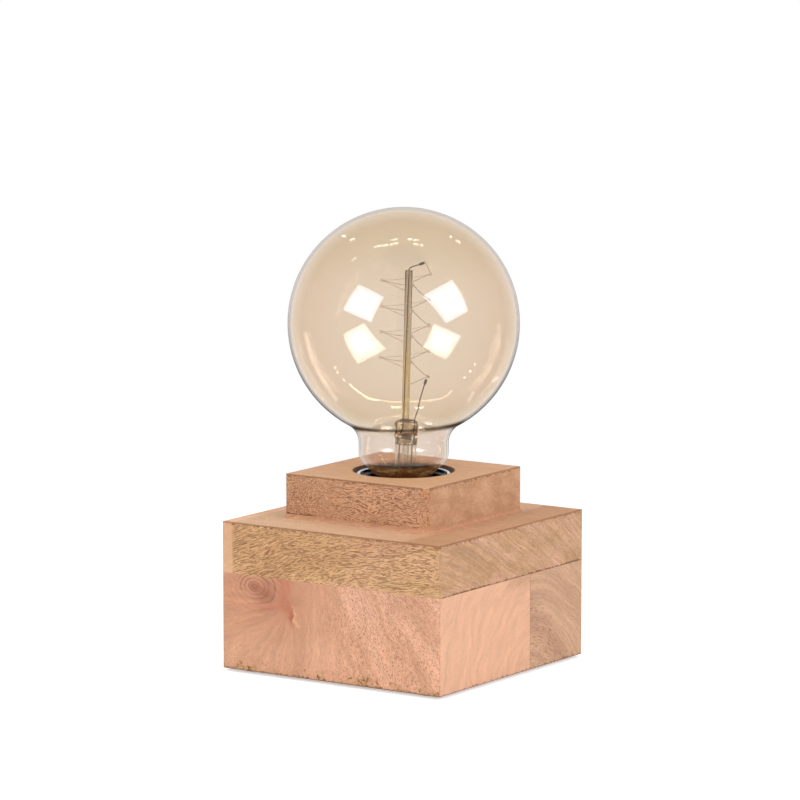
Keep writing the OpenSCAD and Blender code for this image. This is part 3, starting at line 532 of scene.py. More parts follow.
def lower_front_wood(t, at, bend):
    (x, y, z), (wx, wy, wz) = at, bend
    # the figure runs round a knot near the upper left corner of the front
    kx, kz = (x + 48.8) / 1.55, z - 48.3
    r = t.hypot(kx, kz) + wz * 5.0
    # the outer rings hang lower and further right than the eye
    r = r - (kx - kz) * t.range(r, 1.0, 14.0, 0.0, 0.16)
    rings = t.math("SINE", r ** 0.85 * 4.4)
    rings = ((rings + 1.0) * 0.5) ** 6.0 * t.range(r, 14.0, 5.0)
    rings = rings * t.range(t.noise(t.scale(t.p, 0.16), 1.0, 1.0), 0.35, 0.6, 0.35, 1.0)
    # to its right the fibres fall steeply and spread, below it they fan out to the left
    bent = x + wx * 12.0
    u1, v1 = t.fan(bent, z, -14.0, 130.0, 92.0, 0.9)
    u2, v2 = t.fan(bent, z, -25.0, 41.0, 22.0, 0.7)
    left = t.range(bent + (z - 30.0) * -0.25, -14.0, -24.0)
    depth = y * 0.4

    def figure(across, along, detail, rough):
        one = t.noise(t.vec(u1 * across, v1 * along, depth), 1.0, detail, rough)
        two = t.noise(t.vec(u2 * across, v2 * along, depth), 1.0, detail, rough)
        return one * (1.0 - left) + two * left

    lines = figure(0.40, 0.05, 3.0, 0.6)
    fine = figure(2.2, 0.30, 2.0, 0.6)
    front = t.range(x, BLOCK / 2 - 0.9, BLOCK / 2 - 0.5, 1.0, 0.0)
    t.base = t.ramp(t.range(figure(0.10, 0.02, 2.0, 0.55), 0.35, 0.65), colour(213, 161, 131),
                    colour(221, 169, 139), colour(228, 176, 147))
    # duller below the knot, pinker towards the right corner
    t.stain(t.range(x + wz * 30.0, 2.0, -22.0) * 0.55, 197, 149, 119)
    t.stain(t.range(r, 34.0, 9.0) * 0.8, 198, 142, 112)
    t.stain(t.bell(x, -41.5, 6.5) * t.bell(z, 45.5, 6.5) * 0.8, 160, 102, 80)
    t.stain(rings * 0.7, 128, 76, 58)
    eye = t.range(r, 2.4, 0.6)
    t.stain(eye * 0.5, 146, 84, 66)
    # red streak to the right of the knot, ending in a hook with a pale lip
    streak_x = x - (-29.5 + (54.0 - z) * 0.22) + wz * 9.0
    streak_x = streak_x + (t.noise(t.p, 0.22, 1.0) - 0.5) * 7.0
    red = t.bell(streak_x, -0.8, 3.2) * t.range(z, 29.0, 35.0)
    t.stain(red * 0.55, 196, 118, 92)
    hook = t.bell(streak_x, 0.4, 1.7) * t.bell(z, 33.5, 3.6)
    t.stain(hook * 0.62, 172, 86, 66)
    flame = t.bell(z + wx * 8.0, 38.0, 1.8) * (t.range(x, -58.0, -36.0) * t.range(x, -22.0, -27.0))
    t.stain(flame * 0.5, 200, 122, 94)
    lip = t.bell(streak_x, 2.9, 1.0) * (t.range(z, 27.0, 31.0) * t.range(z, 42.0, 37.0))
    t.stain(lip * 0.55, 236, 186, 150)
    coarse = (lines - 0.5) * t.range(abs(x + 10.0), 8.0, 22.0, 0.35, 0.6)
    shade = coarse + (fine - 0.5) * t.range(left, 0.0, 1.0, 0.6, 0.36)
    shade = shade * t.range(v2, 3.0, 11.0, 0.25, 1.0)
    # the right end shows arcs round a pith low in the rear
    ring = t.hypot(y - 28.0 + wy * 8.0, z + 6.0) + wz * 14.0
    arcs = t.noise(t.vec(ring * 0.3, y * 0.05, z * 0.06), 1.0, 3.0, 0.6)
    speck = t.noise(t.p, 0.9, 2.0, 0.6)
    end_shade = (arcs - 0.5) * 0.5 + (speck - 0.5) * 0.09
    damp = t.range(y + wx * 24.0, -12.0, 8.0) * t.range(z + wz * 14.0, 44.0, 51.0)
    end = t.mix(damp * 0.6, colour(225, 176, 146), colour(192, 148, 120))
    t.base = t.mix(front, end, t.base)
    t.shade(shade * front + end_shade * (1.0 - front))
    # rough pores towards the right corner, and grit below
    rough = t.range(x + wy * 30.0, -8.0, 14.0, 0.12, 0.75)
    pit = t.range(figure(2.9, 0.75, 1.0, 0.4), 0.56, 0.68)
    pit = pit * t.max(rough, t.range(z, 22.0, 6.0) * 0.4) * front
    t.stain(pit, 166, 108, 82)
    t.broken_foot(front)
    t.worn_edges(BLOCK / 2, LOWER_Z)
    return fine - pit * 0.8, 0.62


def lower_rear_wood(t, at, bend):
    (x, y, z), (wx, _, wz) = at, bend
    # rings round a pith low in front, seen as diagonal bands on the end grain
    r = t.hypot(y - 6.0, z + 36.0) + wz * 12.0
    band = t.noise(t.vec(r * 0.16, x * 0.008, z * 0.02), 1.0, 1.0)
    thin = t.noise(t.vec(r * 1.1, x * 0.01, z * 0.06), 1.0, 3.0, 0.65)
    t.base = t.ramp(t.range(band, 0.36, 0.64), colour(198, 156, 128), colour(206, 164, 136),
                    colour(211, 170, 138))
    speck = t.noise(t.p, 0.8, 2.0, 0.6)
    t.shade((thin - 0.5) * 0.7 + (speck - 0.5) * 0.2)
    # a darker wedge below the joint
    low = z + (y - JOINT_Y) * 0.95 + wx * 10.0
    t.stain(t.range(low, 45.0, 41.0) * t.range(low, 16.0, 34.0) * 0.35, 190, 146, 120)
    pit = t.end_dashes(r, 2.3) * t.range(low, 50.0, 40.0, 0.3, 0.85)
    t.stain(pit, 148, 104, 80)
    t.seam_upright()
    t.broken_foot(0.35)
    t.worn_edges(BLOCK / 2, LOWER_Z)
    return speck - pit, 0.62


def plate_wood(t, at, bend):
    (x, y, z), (_, wy, wz) = at, bend
    # the grain climbs on the left and levels out towards the right
    lift = 72.0 - x
    q = t.vec(x, y + wy * 5.0, z + (lift * lift * 0.0016 + wz * 6.0))
    shade, fine = t.fibres(q, 0.55, colour(200, 154, 110), colour(212, 168, 122),
                           colour(216, 168, 132))
    # rings round a far pith, seen as thin stripes that fall to the right on the right end
    r = t.hypot(y + 230.0, z + 332.0) + wz * 7.0
    band = t.noise(t.vec(r * 0.85, x * 0.01, y * 0.03), 1.0, 3.0, 0.7)
    end = t.range(x, BLOCK / 2 - 1.2, BLOCK / 2 - 0.6)
    shade = shade + (band - 0.5) * t.range(end, 0.0, 1.0, 0.35, 1.1)
    patch = t.noise(t.vec(y * 0.04, z * 0.07, 0.0))
    ends = t.mix(t.range(patch, 0.38, 0.62), colour(196, 154, 118), colour(212, 168, 138))
    t.base = t.mix(end * 0.85, t.base, ends)
    # the tread, painted lighter as light falls on it from above and darker right of the top block,
    # and the land that the top block stands on
    flat = t.range(z, FLAT_Z - 0.5, FLAT_Z - 0.1)
    tread = t.mix(t.range(x, 44.0, 50.0), colour(206, 170, 139), colour(176, 136, 100))
    t.base = t.mix(flat * 0.8, t.base, tread)
    t.stain(t.range(z, FLAT_Z + 0.25, FLAT_Z + 0.7) * 0.8, 200, 146, 112)
    blush = t.bell(z, FLAT_Z + 0.35, 0.35) * t.range(x, 20.0, 44.0)
    t.stain(blush * 0.5, 190, 116, 84)
    # the wood is pinker above a grain line that climbs to the front corner
    above = z - (70.7 + (x - 25.4) * 0.24) + wz * 3.0
    sides = (1.0 - end) * (1.0 - flat)
    t.stain(t.range(above, 0.0, 1.5) * t.range(x, -6.0, 24.0) * sides * 0.55, 208, 154, 122)
    t.stain(t.bell(above, -0.3, 0.7) * t.range(x, 10.0, 30.0) * sides * 0.4, 150, 100, 66)
    t.shade(shade)
    pit = t.max(t.pores(q, (0.28, 3.1, 3.1), 0.54, 0.66),
                t.pores(q, (0.13, 1.9, 1.9), 0.59, 0.7) * 0.85)
    pit = pit * t.range(x, -64.5, -62.0)
    pit = pit * t.range(flat, 1.0, 0.0, 0.35, 1.0) * t.range(end, 1.0, 0.0, 0.35, 1.0)
    t.stain(t.end_dashes(r, 2.0) * (end * 0.5), 158, 112, 82)
    # pale fibres between the pores
    aside = t.vmath("ADD", q, (40.0, 0.0, 9.0))
    pale = t.max(t.pores(aside, (0.2, 2.4, 2.4), 0.56, 0.7),
                 t.pores(aside, (0.035, 1.3, 1.3), 0.58, 0.68))
    t.stain(pale * (sides * 0.45), 232, 190, 150)
    t.stain(pit * 0.8, 144, 98, 62)
    # smooth sapwood at the left end
    t.stain(t.range(x, -62.5, -64.5) * 0.7, 222, 174, 140)
    t.seam(PLATE_Z, t.range(x, 69.5, 70.0), 0.85)
    t.worn_edges(BLOCK / 2, FLAT_Z)
    return fine - pit, 0.6


def top_wood(t, at, bend):
    (x, y, z), (wx, wy, wz) = at, bend
    q = t.vec(x, y + wy * 8.0, z + wz * 10.0)
    shade, fine = t.fibres(q, 0.5, colour(198, 146, 108), colour(212, 160, 122),
                           colour(204, 150, 114))
    end = t.range(x, TOP / 2 - 1.5, TOP / 2 - 0.8)
    crown = t.range(z, WOOD_Z - 0.5, WOOD_Z - 0.1)
    front = t.range(y, -TOP / 2 + 1.0, -TOP / 2 + 0.6) * (1.0 - crown)
    t.stain(front * 0.65, 208, 160, 126)
    # painted light: the top face is painted lighter, as light falls on it from above
    t.stain(crown * 0.8, 210, 172, 138)
    patch = t.noise(t.vec(y * 0.06, z * 0.1, 2.0), 1.0, 3.0, 0.65)
    ends = t.mix(t.range(patch, 0.36, 0.64), colour(188, 142, 106), colour(212, 166, 132))
    t.base = t.mix(end * 0.8, t.base, ends)
    t.shade(shade)
    # rough pores: dots on the left, dashes towards the corner
    dots = t.max(t.pores(q, (1.5, 2.6, 2.6), 0.5, 0.66), t.pores(q, (0.8, 1.4, 1.4), 0.58, 0.7))
    dashes = t.max(t.pores(q, (0.36, 2.7, 2.7), 0.52, 0.66),
                   t.pores(q, (0.17, 1.6, 1.6), 0.59, 0.7))
    along = t.range(x + wx * 20.0, -28.0, -4.0)
    pit = dots * (1.0 - along) + dashes * along
    pit = pit * t.range(crown, 1.0, 0.0, 0.25, 1.0) * t.range(end, 1.0, 0.0, 0.25, 1.0)
    t.stain(pit * 0.85, 134, 84, 56)
    t.seam(TOP_Z, t.range(x, -20.0, -32.0) * front, 0.9)
    t.worn_edges(TOP / 2 - 0.4, WOOD_Z)
    # the wall of the bore is painted dark brown
    bore = t.range(t.vmath("LENGTH", t.vec(x, y, 0.0)), 28.3, 27.9)
    bore = bore * t.range(z, WOOD_Z - 0.05, WOOD_Z - 0.25, 0.5, 1.0)
    t.stain(bore * 0.85, 70, 44, 28)
    return fine - pit, 0.6


# The wood of each block, how finely its figure bends, half its width and the level of its worn
# edges
BLOCKS = {
    "lower_front_board": (lower_front_wood, 0.05, BLOCK / 2, LOWER_Z),
    "lower_rear_board": (lower_rear_wood, 0.03, BLOCK / 2, LOWER_Z),
    "middle_plate": (plate_wood, 0.04, BLOCK / 2, FLAT_Z),
    "top_block": (top_wood, 0.05, TOP / 2, WOOD_Z),
}


# ---------------------------------------------------------------- other finishes

def beside_middle(t, p):
    """How far to the right of the bulb's axis a point is, along the press."""
    a = math.radians(TURN)
    return t.vmath("DOT_PRODUCT", p, (math.cos(a), math.sin(a), 0.0))


def glass_material(name, low_tone, high_tone, low_z, high_z, rim, power, streaks, swirl=0.0):
    """Solid glass of two tones along its height, with painted shade in dark swirls of the given
    share. Its outline is painted darker, and it lets light through to shadows."""
    material, t = new_material(name)
    p = t.here()
    z = t.split(p)[2]
    facing = t.get("ShaderNodeLayerWeight", 0.5, out="Facing")
    streak = t.noise(t.stretch(p, (0.9, 0.9, 0.08)))
    tint = t.mix(t.range(z, low_z, high_z), low_tone, high_tone)
    tint = t.mix(t.range(streak, 0.42, 0.68) * streaks, tint, rim)
    # painted shade: the glass is darker towards its outline
    tint = t.mix(facing ** power, tint, rim)
    if swirl:
        # painted shade: dark swirls in the press
        curl = t.range(t.noise(p, 0.34, 2.0, 0.5, 1.2), 0.50, 0.60)
        tint = t.mix(curl * swirl, tint, colour(112, 74, 36))
        # painted shade: a dark spot in the middle of the press
        dark_spot_shade = t.bell(beside_middle(t, p), 1.5, 2.6) * t.bell(z, PRESS_TOP_Z - 9.6, 2.4)
        tint = t.mix(dark_spot_shade, tint, colour(190, 172, 126))
    glass = t.get("ShaderNodeBsdfGlass", Color=tint, Roughness=0.0, IOR=1.5)
    clear = t.get("ShaderNodeBsdfTransparent", tint)
    shadow = t.get("ShaderNodeLightPath", out="Is Shadow Ray")
    t.put("ShaderNodeOutputMaterial", t.get("ShaderNodeMixShader", shadow, glass, clear))
    return material


def film(t, clear, cosine):
    """What a tinted film lets through: the slanted way through it is longer, but a blown wall
    is paler towards its outline."""
    longer = t.min(t.max(cosine, 0.04) ** -0.52, 1.05 + cosine * 0.9)
    parts = [c ** longer for c in t.split(clear, "ShaderNodeSeparateColor")]
    return t.get("ShaderNodeCombineColor", *parts)


def thin_glass(t, tint, shine, painted_reflection, painted_reflection_tone):
    """Blown glass that is seen straight through, with a reflection on each of its faces. A diffuse
    share of a given tone paints in a reflection.
    """
    # the same index on both sides of the wall
    behind = t.get("ShaderNodeNewGeometry", out="Backfacing")
    index = t.range(behind, 0.0, 1.0, 1.5, 1 / 1.5, False)
    mirror = t.min(t.get("ShaderNodeFresnel", index), 0.5)
    mirror = mirror * (1.0 - t.get("ShaderNodeLightPath", out="Is Shadow Ray"))
    gloss = t.get("ShaderNodeBsdfGlossy", shine, 0.0)
    through = t.get("ShaderNodeBsdfTransparent", tint)
    glass = t.get("ShaderNodeMixShader", mirror, through, gloss)
    # diffuse painted reflection, mixed in by its share
    painted_reflection_shader = t.get("ShaderNodeBsdfDiffuse", painted_reflection_tone)
    t.put("ShaderNodeOutputMaterial", t.get("ShaderNodeMixShader", painted_reflection, glass, painted_reflection_shader))


def envelope_material(name):
    """Globe glass. Its amber coat ends above the neck, and a painted dark line marks the bend
    there, where the glass refracts. The shoulder has a painted reflection of the brass and the
    cement below it.
    """
    material, t = new_material(name)
    p = t.here()
    z = t.split(p)[2]
    coat = t.range(z, NECK_TOP - 2.0, NECK_TOP + 5.0)
    ends = t.max(t.range(z, GLOBE_Z + 15.0, GLOBE_Z + 45.0),
                 t.range(z, GLOBE_Z - 38.0, GLOBE_Z - 52.0))
    amber = t.mix(ends, colour(248.2, 242.3, 235.4), colour(246.2, 240.6, 231.9))
    clear = t.mix(coat, colour(248, 243, 239), amber)
    clear = t.mix(t.noise(t.scale(p, 0.02), 1.0, 1.0) * 0.1, clear, colour(240, 230, 216))
    below = t.range(z, GLOBE_Z + 20.0, GLOBE_Z - 45.0)
    # the bend's near wall looks down
    outer = t.math("LESS_THAN", t.split(t.get("ShaderNodeNewGeometry", out="Normal"))[2], 0.0)
    front = 1.0 - t.get("ShaderNodeNewGeometry", out="Backfacing")

    # painted shade: dark lines along the outline and along the bend, where the glass refracts; the
    # bend was not blown quite level
    facing = t.get("ShaderNodeLayerWeight", 0.5, out="Facing")
    level = RING_Z + 0.95 + beside_middle(t, p) * 0.045
    outline = t.range(facing, 0.80, 0.93) * t.range(below, 0.0, 1.0, 0.42, 1.0, False)
    outline = outline * t.range(z, WOOD_Z + 3.0, BLEND_Z + 1.0, 0.3, 1.0)
    ring = t.bell(z, level, t.range(facing, 0.45, 0.85, 0.65, 2.6)) * (outer * front)
    line = t.max(outline, ring * t.range(facing, 0.35, 0.8, 0.22, 1.0))
    line_tone = t.mix(below, colour(150, 138, 140), colour(82, 58, 24))

    # painted reflection: the shoulder is painted amber with the brass and the cement below it,
    # golden above and red below
    low = t.range(z, WOOD_Z + 5.5, WOOD_Z + 1.5)
    cloud = t.range(t.noise(t.stretch(p, (0.13, 0.13, 0.4)), 1.0, 2.0, 0.6), 0.38, 0.64)
    painted_reflection = low * t.range(cloud, 0.0, 1.0, 0.30, 0.58, False)
    tone = t.mix(cloud, colour(206, 158, 92), colour(236, 200, 134))
    red = t.mix(cloud, colour(206, 118, 62), colour(240, 182, 112))
    tone = t.mix(t.range(z, WOOD_Z + 3.0, WOOD_Z + 1.0), tone, red)
    tone = t.mix(t.range(z, WOOD_Z + 0.5, WOOD_Z - 2.5, 0.0, 0.85), tone, colour(150, 80, 42))
    # painted reflection: on the far wall it is painted dark, for the black bowl of the holder
    # behind it
    behind = 1.0 - outer
    far = behind * t.range(z, WOOD_Z + 3.4, WOOD_Z + 0.2)
    tone = t.mix(far, tone, colour(48, 31, 20))
    painted_reflection = painted_reflection * (1.0 + far - behind * 0.4)
    tint = t.mix(line, film(t, clear, 1.0 - facing), line_tone)
    thin_glass(t, tint, t.mix(line, WHITE, line_tone), painted_reflection, tone)
    return material


def metal_material(name, base, dull, rough, brushed=0.0, metal=1.0, cloud_scale=0.25):
    """Metal with duller clouds on it and fine scratches round it."""
    material, t = new_material(name)
    p = t.here()
    cloud = t.noise(p, cloud_scale, 3.0, 0.6)
    scratch = t.noise(t.stretch(p, (1.0, 1.0, 6.0)), 1.2, 2.0)
    tone = t.mix(t.range(cloud, 0.45, 0.75), base, dull)
    t.surface(tone, rough + (scratch - 0.5) * (brushed + 0.06), metal, scratch, 0.02)
    return material


def plain_material(name, base, spots, rough, scale, depth, contrast=0.5):
    """Grained surface of two tones, with a bump of this depth."""
    material, t = new_material(name)
    grain = t.noise(t.here(), scale, 3.0, 0.6)
    tone = t.mix(t.range(grain, 0.4, 0.7) * contrast, base, spots)
    t.surface(tone, rough + (grain - 0.5) * 0.12, 0.0, grain, depth)
    return material


FINISHES = {
    "fibreboard": (plain_material, colour(52, 44, 38), colour(84, 70, 58), 0.55, 1.6, 0.08),
    "felt": (plain_material, colour(60, 50, 42), colour(92, 78, 66), 0.95, 3.0, 0.3, 0.8),
    "black_phenolic": (plain_material, colour(10, 10, 11), colour(18, 17, 17), 0.16, 0.6, 0.01),
    "chromed_steel": (metal_material, colour(168, 170, 176), colour(140, 142, 150), 0.06),
    "zinc_steel": (metal_material, colour(176, 176, 170), colour(150, 150, 146), 0.32, 0.2),
    "brass": (metal_material, colour(214, 172, 92), colour(188, 142, 74), 0.20, 0.1),
    "solder": (metal_material, colour(160, 160, 160), colour(128, 128, 128), 0.42, 0.2),
    "black_glass": (plain_material, colour(12, 12, 16), colour(24, 22, 28), 0.08, 0.5, 0.01),
    "cement": (plain_material, colour(214, 204, 180), colour(180, 168, 142), 0.9, 2.0, 0.15),
    "amber_glass": (glass_material, colour(247, 243, 228), colour(241, 238, 232), GLOBE_Z - 30.0,
                    GLOBE_Z + 10.0, colour(196, 180, 150), 2.4, 0.08),
    "clear_glass": (glass_material, colour(252, 252, 250), colour(251, 251, 248), FLARE_Z,
                    PRESS_TOP_Z, colour(206, 182, 156), 3.0, 0.12),
    "press_glass": (glass_material, colour(253, 247, 234), colour(255, 252, 244), PRESS_TOP_Z - 9.0,
                    PRESS_TOP_Z - 3.0, colour(96, 66, 42), 3.4, 0.1, 0.3),
    "lead_wire": (metal_material, colour(84, 68, 54), colour(56, 44, 34), 0.45, 0.2, 0.3),
    "hook_wire": (metal_material, colour(188, 168, 140), colour(88, 70, 52), 0.4, 0.2, 0.3, 0.7),
    "filament_wire": (metal_material, colour(172, 148, 120), colour(66, 52, 40), 0.5, 0.2, 0.3,
                      0.9),
}


def paint(slot):
    """The finish of a slot, made when it is first asked for."""
    name = "finish_" + slot
    found = bpy.data.materials.get(name)
    if found:
        return found
    maker, *values = FINISHES[slot]
    return maker(name, *values)


# ---------------------------------------------------------------- routes in the bulb

def turned(p):
    """Point turned with the mount about the bulb's axis."""
    a = math.radians(TURN)
    x, y, z = p
    return Vector((x * math.cos(a) - y * math.sin(a), x * math.sin(a) + y * math.cos(a), z))


def leaning(x, y, h, lean, foot_x, foot_z):
    """Place of a point of something that leans to the right on its foot."""
    a = math.radians(lean)
    return turned((foot_x + x * math.cos(a) + h * math.sin(a), y,
                   foot_z - x * math.sin(a) + h * math.cos(a)))


def by_support(x, y, h):
    return leaning(x, y, h, SUPPORT_LEAN, SUPPORT_X, PRESS_TOP_Z)


def by_stem(x, y, h):
    return leaning(x, y, h, STEM_LEAN, 0.0, FLARE_Z)


def leaning_matrix(lean, foot_x, foot_z):
    return (Matrix.Rotation(math.radians(TURN), 4, "Z") @ Matrix.Translation((foot_x, 0, foot_z))
            @ Matrix.Rotation(math.radians(lean), 4, "Y"))


STEM_MATRIX = leaning_matrix(STEM_LEAN, 0, FLARE_Z)
SUPPORT_MATRIX = leaning_matrix(SUPPORT_LEAN, SUPPORT_X, PRESS_TOP_Z)


def long_lead_points():
    return [
        turned((0, 0, INSULATOR_Z + 0.3)), turned((0, 0, CAP_Z + 1)),
        turned((-UNDER_X / 2, 0, CAP_Z + 4)), by_stem(-UNDER_X, 0, -4),
        by_stem(-UNDER_X, 0, FOOT_H / 2), by_stem(-UNDER_X, 0, FOOT_H + 2),
        by_support(-LEAN_X - 0.4, 0, -6), by_support(-LEAN_X, 0, -3), by_support(-LEAN_X, 0, 2),
        by_support(-LEAN_X / 2, 0, SUPPORT_H / 2), by_support(0, 0, SUPPORT_H - 4),
        by_support(0.1, 0, SUPPORT_H + 0.4), by_support(0.5, 0, SUPPORT_H + 1.2),
        by_support(1.4, 0, SUPPORT_H + 1.8), by_support(4.5, 0, SUPPORT_H + 2.9),
        by_support(7.7, 0, SUPPORT_H + 4.1),
    ]


def short_lead_points():
    x = CAP_R - CAP_T - 0.3 - LEAD_R
    return [
        turned((x, 0, CAP_Z + 6)), turned((x - 2, 0, CAP_Z + 7)), by_stem(UNDER_X + 1, 0, -2),
        by_stem(UNDER_X, 0, 3), by_stem(UNDER_X, 0, FOOT_H / 2), by_stem(UNDER_X, 0, FOOT_H + 3),
        by_stem(UNDER_X + 0.3, 0, STEM_H - 4), by_stem(UNDER_X + 0.9, 0, STEM_H + 0.5),
        by_support(SHORT_X * 0.6, 0, SHORT_H * 0.2), by_support(SHORT_X * 0.72, 0, SHORT_H * 0.5),
        by_support(SHORT_X * 0.88, 0, SHORT_H * 0.8), by_support(SHORT_X, 0, SHORT_H),
    ]


def hook_point(i, r, rise):
    """Point of a hook, r from the support's axis and rise above the hook's loop."""
    a = math.radians(-HOOK_START - i * 360 / HOOKS_PER_TURN)
    level = SUPPORT_H - HOOK_TOP - i * WIND_PITCH / HOOKS_PER_TURN
    return by_support(r * math.cos(a), r * math.sin(a), level + rise)


def hook_points(i):
    """A hook from the support tube to its open loop."""
    points = [hook_point(i, SUPPORT_R + HOOK_WIRE_R * 0.7, -HOOK_RISE)]
    for k in range(13):
        b = math.radians(200 + 300 * k / 12)
        points.append(hook_point(i, WIND_R + LOOP_R * math.cos(b), LOOP_R * math.sin(b)))
    return points


def filament_points(steps=8):
    """The filament from clamp to clamp, sagging between the hooks' loops."""
    long_end, short_end = long_lead_points()[-1], short_lead_points()[-1]
    points = [long_end + turned((0.6, -0.5, 1)), long_end + turned((1.3, -2, 0.2))]
    for i in range(HOOKS - 1):
        a, b = hook_point(i, WIND_R, 0), hook_point(i + 1, WIND_R, 0)
        for k in range(steps):
            s = k / steps
            points.append(a + (b - a) * s - Vector((0, 0, 4 * SAG * s * (1 - s))))
    return points + [hook_point(HOOKS - 1, WIND_R, 0), short_end + turned((1.8, -1.6, 2.4)),
                     short_end + turned((1.2, -0.4, 1))]


# ---------------------------------------------------------------- settings

class LampWood(bpy.types.PropertyGroup):
    """Finish of the wooden blocks."""
    pore_depth: FloatProperty(
        name="Pore depth", description="Depth of the open pores", default=0.00022, min=0.0,
        max=0.001, unit="LENGTH")


class LampBulb(bpy.types.PropertyGroup):
    """Sizes of the bulb that a user would change."""
    segments: IntProperty(
        name="Segments", description="Segments round the globe", default=192, min=48, max=256)
    coil_pitch: FloatProperty(
        name="Coil pitch", description="Pitch of the filament's fine coil", default=0.00042,
        min=0.0002, max=0.001, unit="LENGTH")


class LampStage(bpy.types.PropertyGroup):
    """Camera and light."""
    azimuth: FloatProperty(
        name="Azimuth", description="Direction of the camera", default=math.radians(34.05),
        subtype="ANGLE")
    elevation: FloatProperty(
        name="Elevation", description="Height angle of the camera", default=math.radians(8.39),
        subtype="ANGLE")
    distance: FloatProperty(
        name="Distance", description="Distance of the camera", default=2.6, unit="LENGTH")
    lens: FloatProperty(
        name="Lens", description="Focal length of the camera in millimetres", default=216.9)
    box_strength: FloatProperty(
        name="Softboxes", description="Brightness of the softboxes", default=5.3)
    top_strength: FloatProperty(
        name="Top light", description="Brightness of the light overhead", default=4.4)
    fill: FloatProperty(
        name="Fill", description="Brightness of the light from all round", default=0.40)


# ---------------------------------------------------------------- pieces

class LAMP_OT_wood(bpy.types.Operator):
    """Wooden blocks with the grain of each board"""
    bl_idname = "lamp.wood"
    bl_label = "Wooden blocks"

    def execute(self, context):
        for node, (build, wobble, half, level) in BLOCKS.items():
            name = "wood_" + node
            node_copy(node, name, wood_material(name, build, wobble), (half, level))
        return {"FINISHED"}


class LAMP_OT_fittings(bpy.types.Operator):
    """Cover, screws, pads, bush and the fittings of the lampholder"""
    bl_idname = "lamp.fittings"
    bl_label = "Small fittings"

    def execute(self, context):
        for node in ("base_cover", "cover_screws", "felt_pads", "cord_bush", "holder_insert",
                     "insert_screws", "shell_terminal", "contact_terminal", "terminal_screws",
                     "contact_foot", "foot_rivet", "contact_tongue", "nipple", "cup_nut",
                     "web_washer", "web_nut", "cap_cement", "exhaust_tube"):
            node_copy(node, "fitting_" + node)
        return {"FINISHED"}


def threaded(low, high, steps, radius, grow, start, end, fade_h, thick):
    """The outside and the inside of a sheet wall from low to high with a thread rolled in between
    start and end. Its radius grows by grow where the thread is full. thick is how far the two
    lie outside and inside that radius."""
    outer, inner = [], []
    for i in range(steps + 1):
        z = low + (high - low) * i / steps
        fade = min(1.0, max(0.0, (z - start) / fade_h), max(0.0, (end - z) / fade_h))
        r = radius + grow * fade
        outer.append((r + thick[0], z, THREAD_H * fade))
        inner.append((r - thick[1], z, THREAD_H * fade))
    return outer, inner


class LAMP_OT_holder(bpy.types.Operator):
    """Chromed cup, black liner and the threaded screw shell"""
    bl_idname = "lamp.holder"
    bl_label = "Lampholder"

    def execute(self, context):
        inner = CUP_R - CUP_T
        bead = RIM_T / 2
        low = POCKET_Z
        profile = [(NIPPLE_HOLE_R, low), (CUP_R - FLOOR_R, low)]
        profile += arc(CUP_R - FLOOR_R, low + FLOOR_R, FLOOR_R, -90, 0, 6)[1:]
        profile += arc(CUP_R, RIM_Z - bead, bead, -90, 143, 18)
        profile += [(inner, RIM_Z - bead), (inner, low + FLOOR_R)]
        profile += arc(CUP_R - FLOOR_R, low + FLOOR_R, FLOOR_R - CUP_T, 0, -90, 6)[1:]
        profile += [(NIPPLE_HOLE_R, FLOOR_Z)]
        mesh_object("cup_chromed", lathe(profile), "socket_cup")

        mouth = LINER_R - LINER_T
        bowl = mouth - THROAT_R
        top = LINER_Z - LINER_T / 2
        profile = [(LINER_R, LINER_BEND_Z - bowl)]
        profile += arc(LINER_R - LINER_T / 2, top, LINER_T / 2, 0, 180, 8)
        profile += [(mouth, LINER_BEND_Z)] + arc(THROAT_R, LINER_BEND_Z, bowl, 0, -90, 14)[1:]
        profile += [(THROAT_R, LINER_BEND_Z - bowl - THROAT_T),
                    (THROAT_R + bowl * 0.6, LINER_BEND_Z - bowl - THROAT_T),
                    (THROAT_R + bowl * 0.6, LINER_BEND_Z - bowl)]
        mesh_object("liner_black", lathe(profile), "cup_liner")

        # screw shell, with the same thread as the cap
        foot, lip = SHELL_Z, SHELL_Z + SHELL_H
        outer, inner = threaded(foot + 0.5, lip - 0.5, 72, SHELL_IN_R, -0.34, *SHELL_THREAD_Z,
                                1.0, (SHELL_T * 0.98, 0.0))
        profile = [(SHELL_IN_R - 0.8, foot), (SHELL_IN_R + SHELL_T * 0.5, foot)] + outer
        profile += [(SHELL_IN_R + SHELL_T + 0.6, lip - SHELL_T), (SHELL_IN_R + SHELL_T + 0.6, lip),
                    (SHELL_IN_R + 0.15, lip)]
        profile += inner[::-1] + [(SHELL_IN_R - 0.8, foot + SHELL_T)]
        mesh_object("shell_threaded", lathe(profile), "screw_shell")
        return {"FINISHED"}


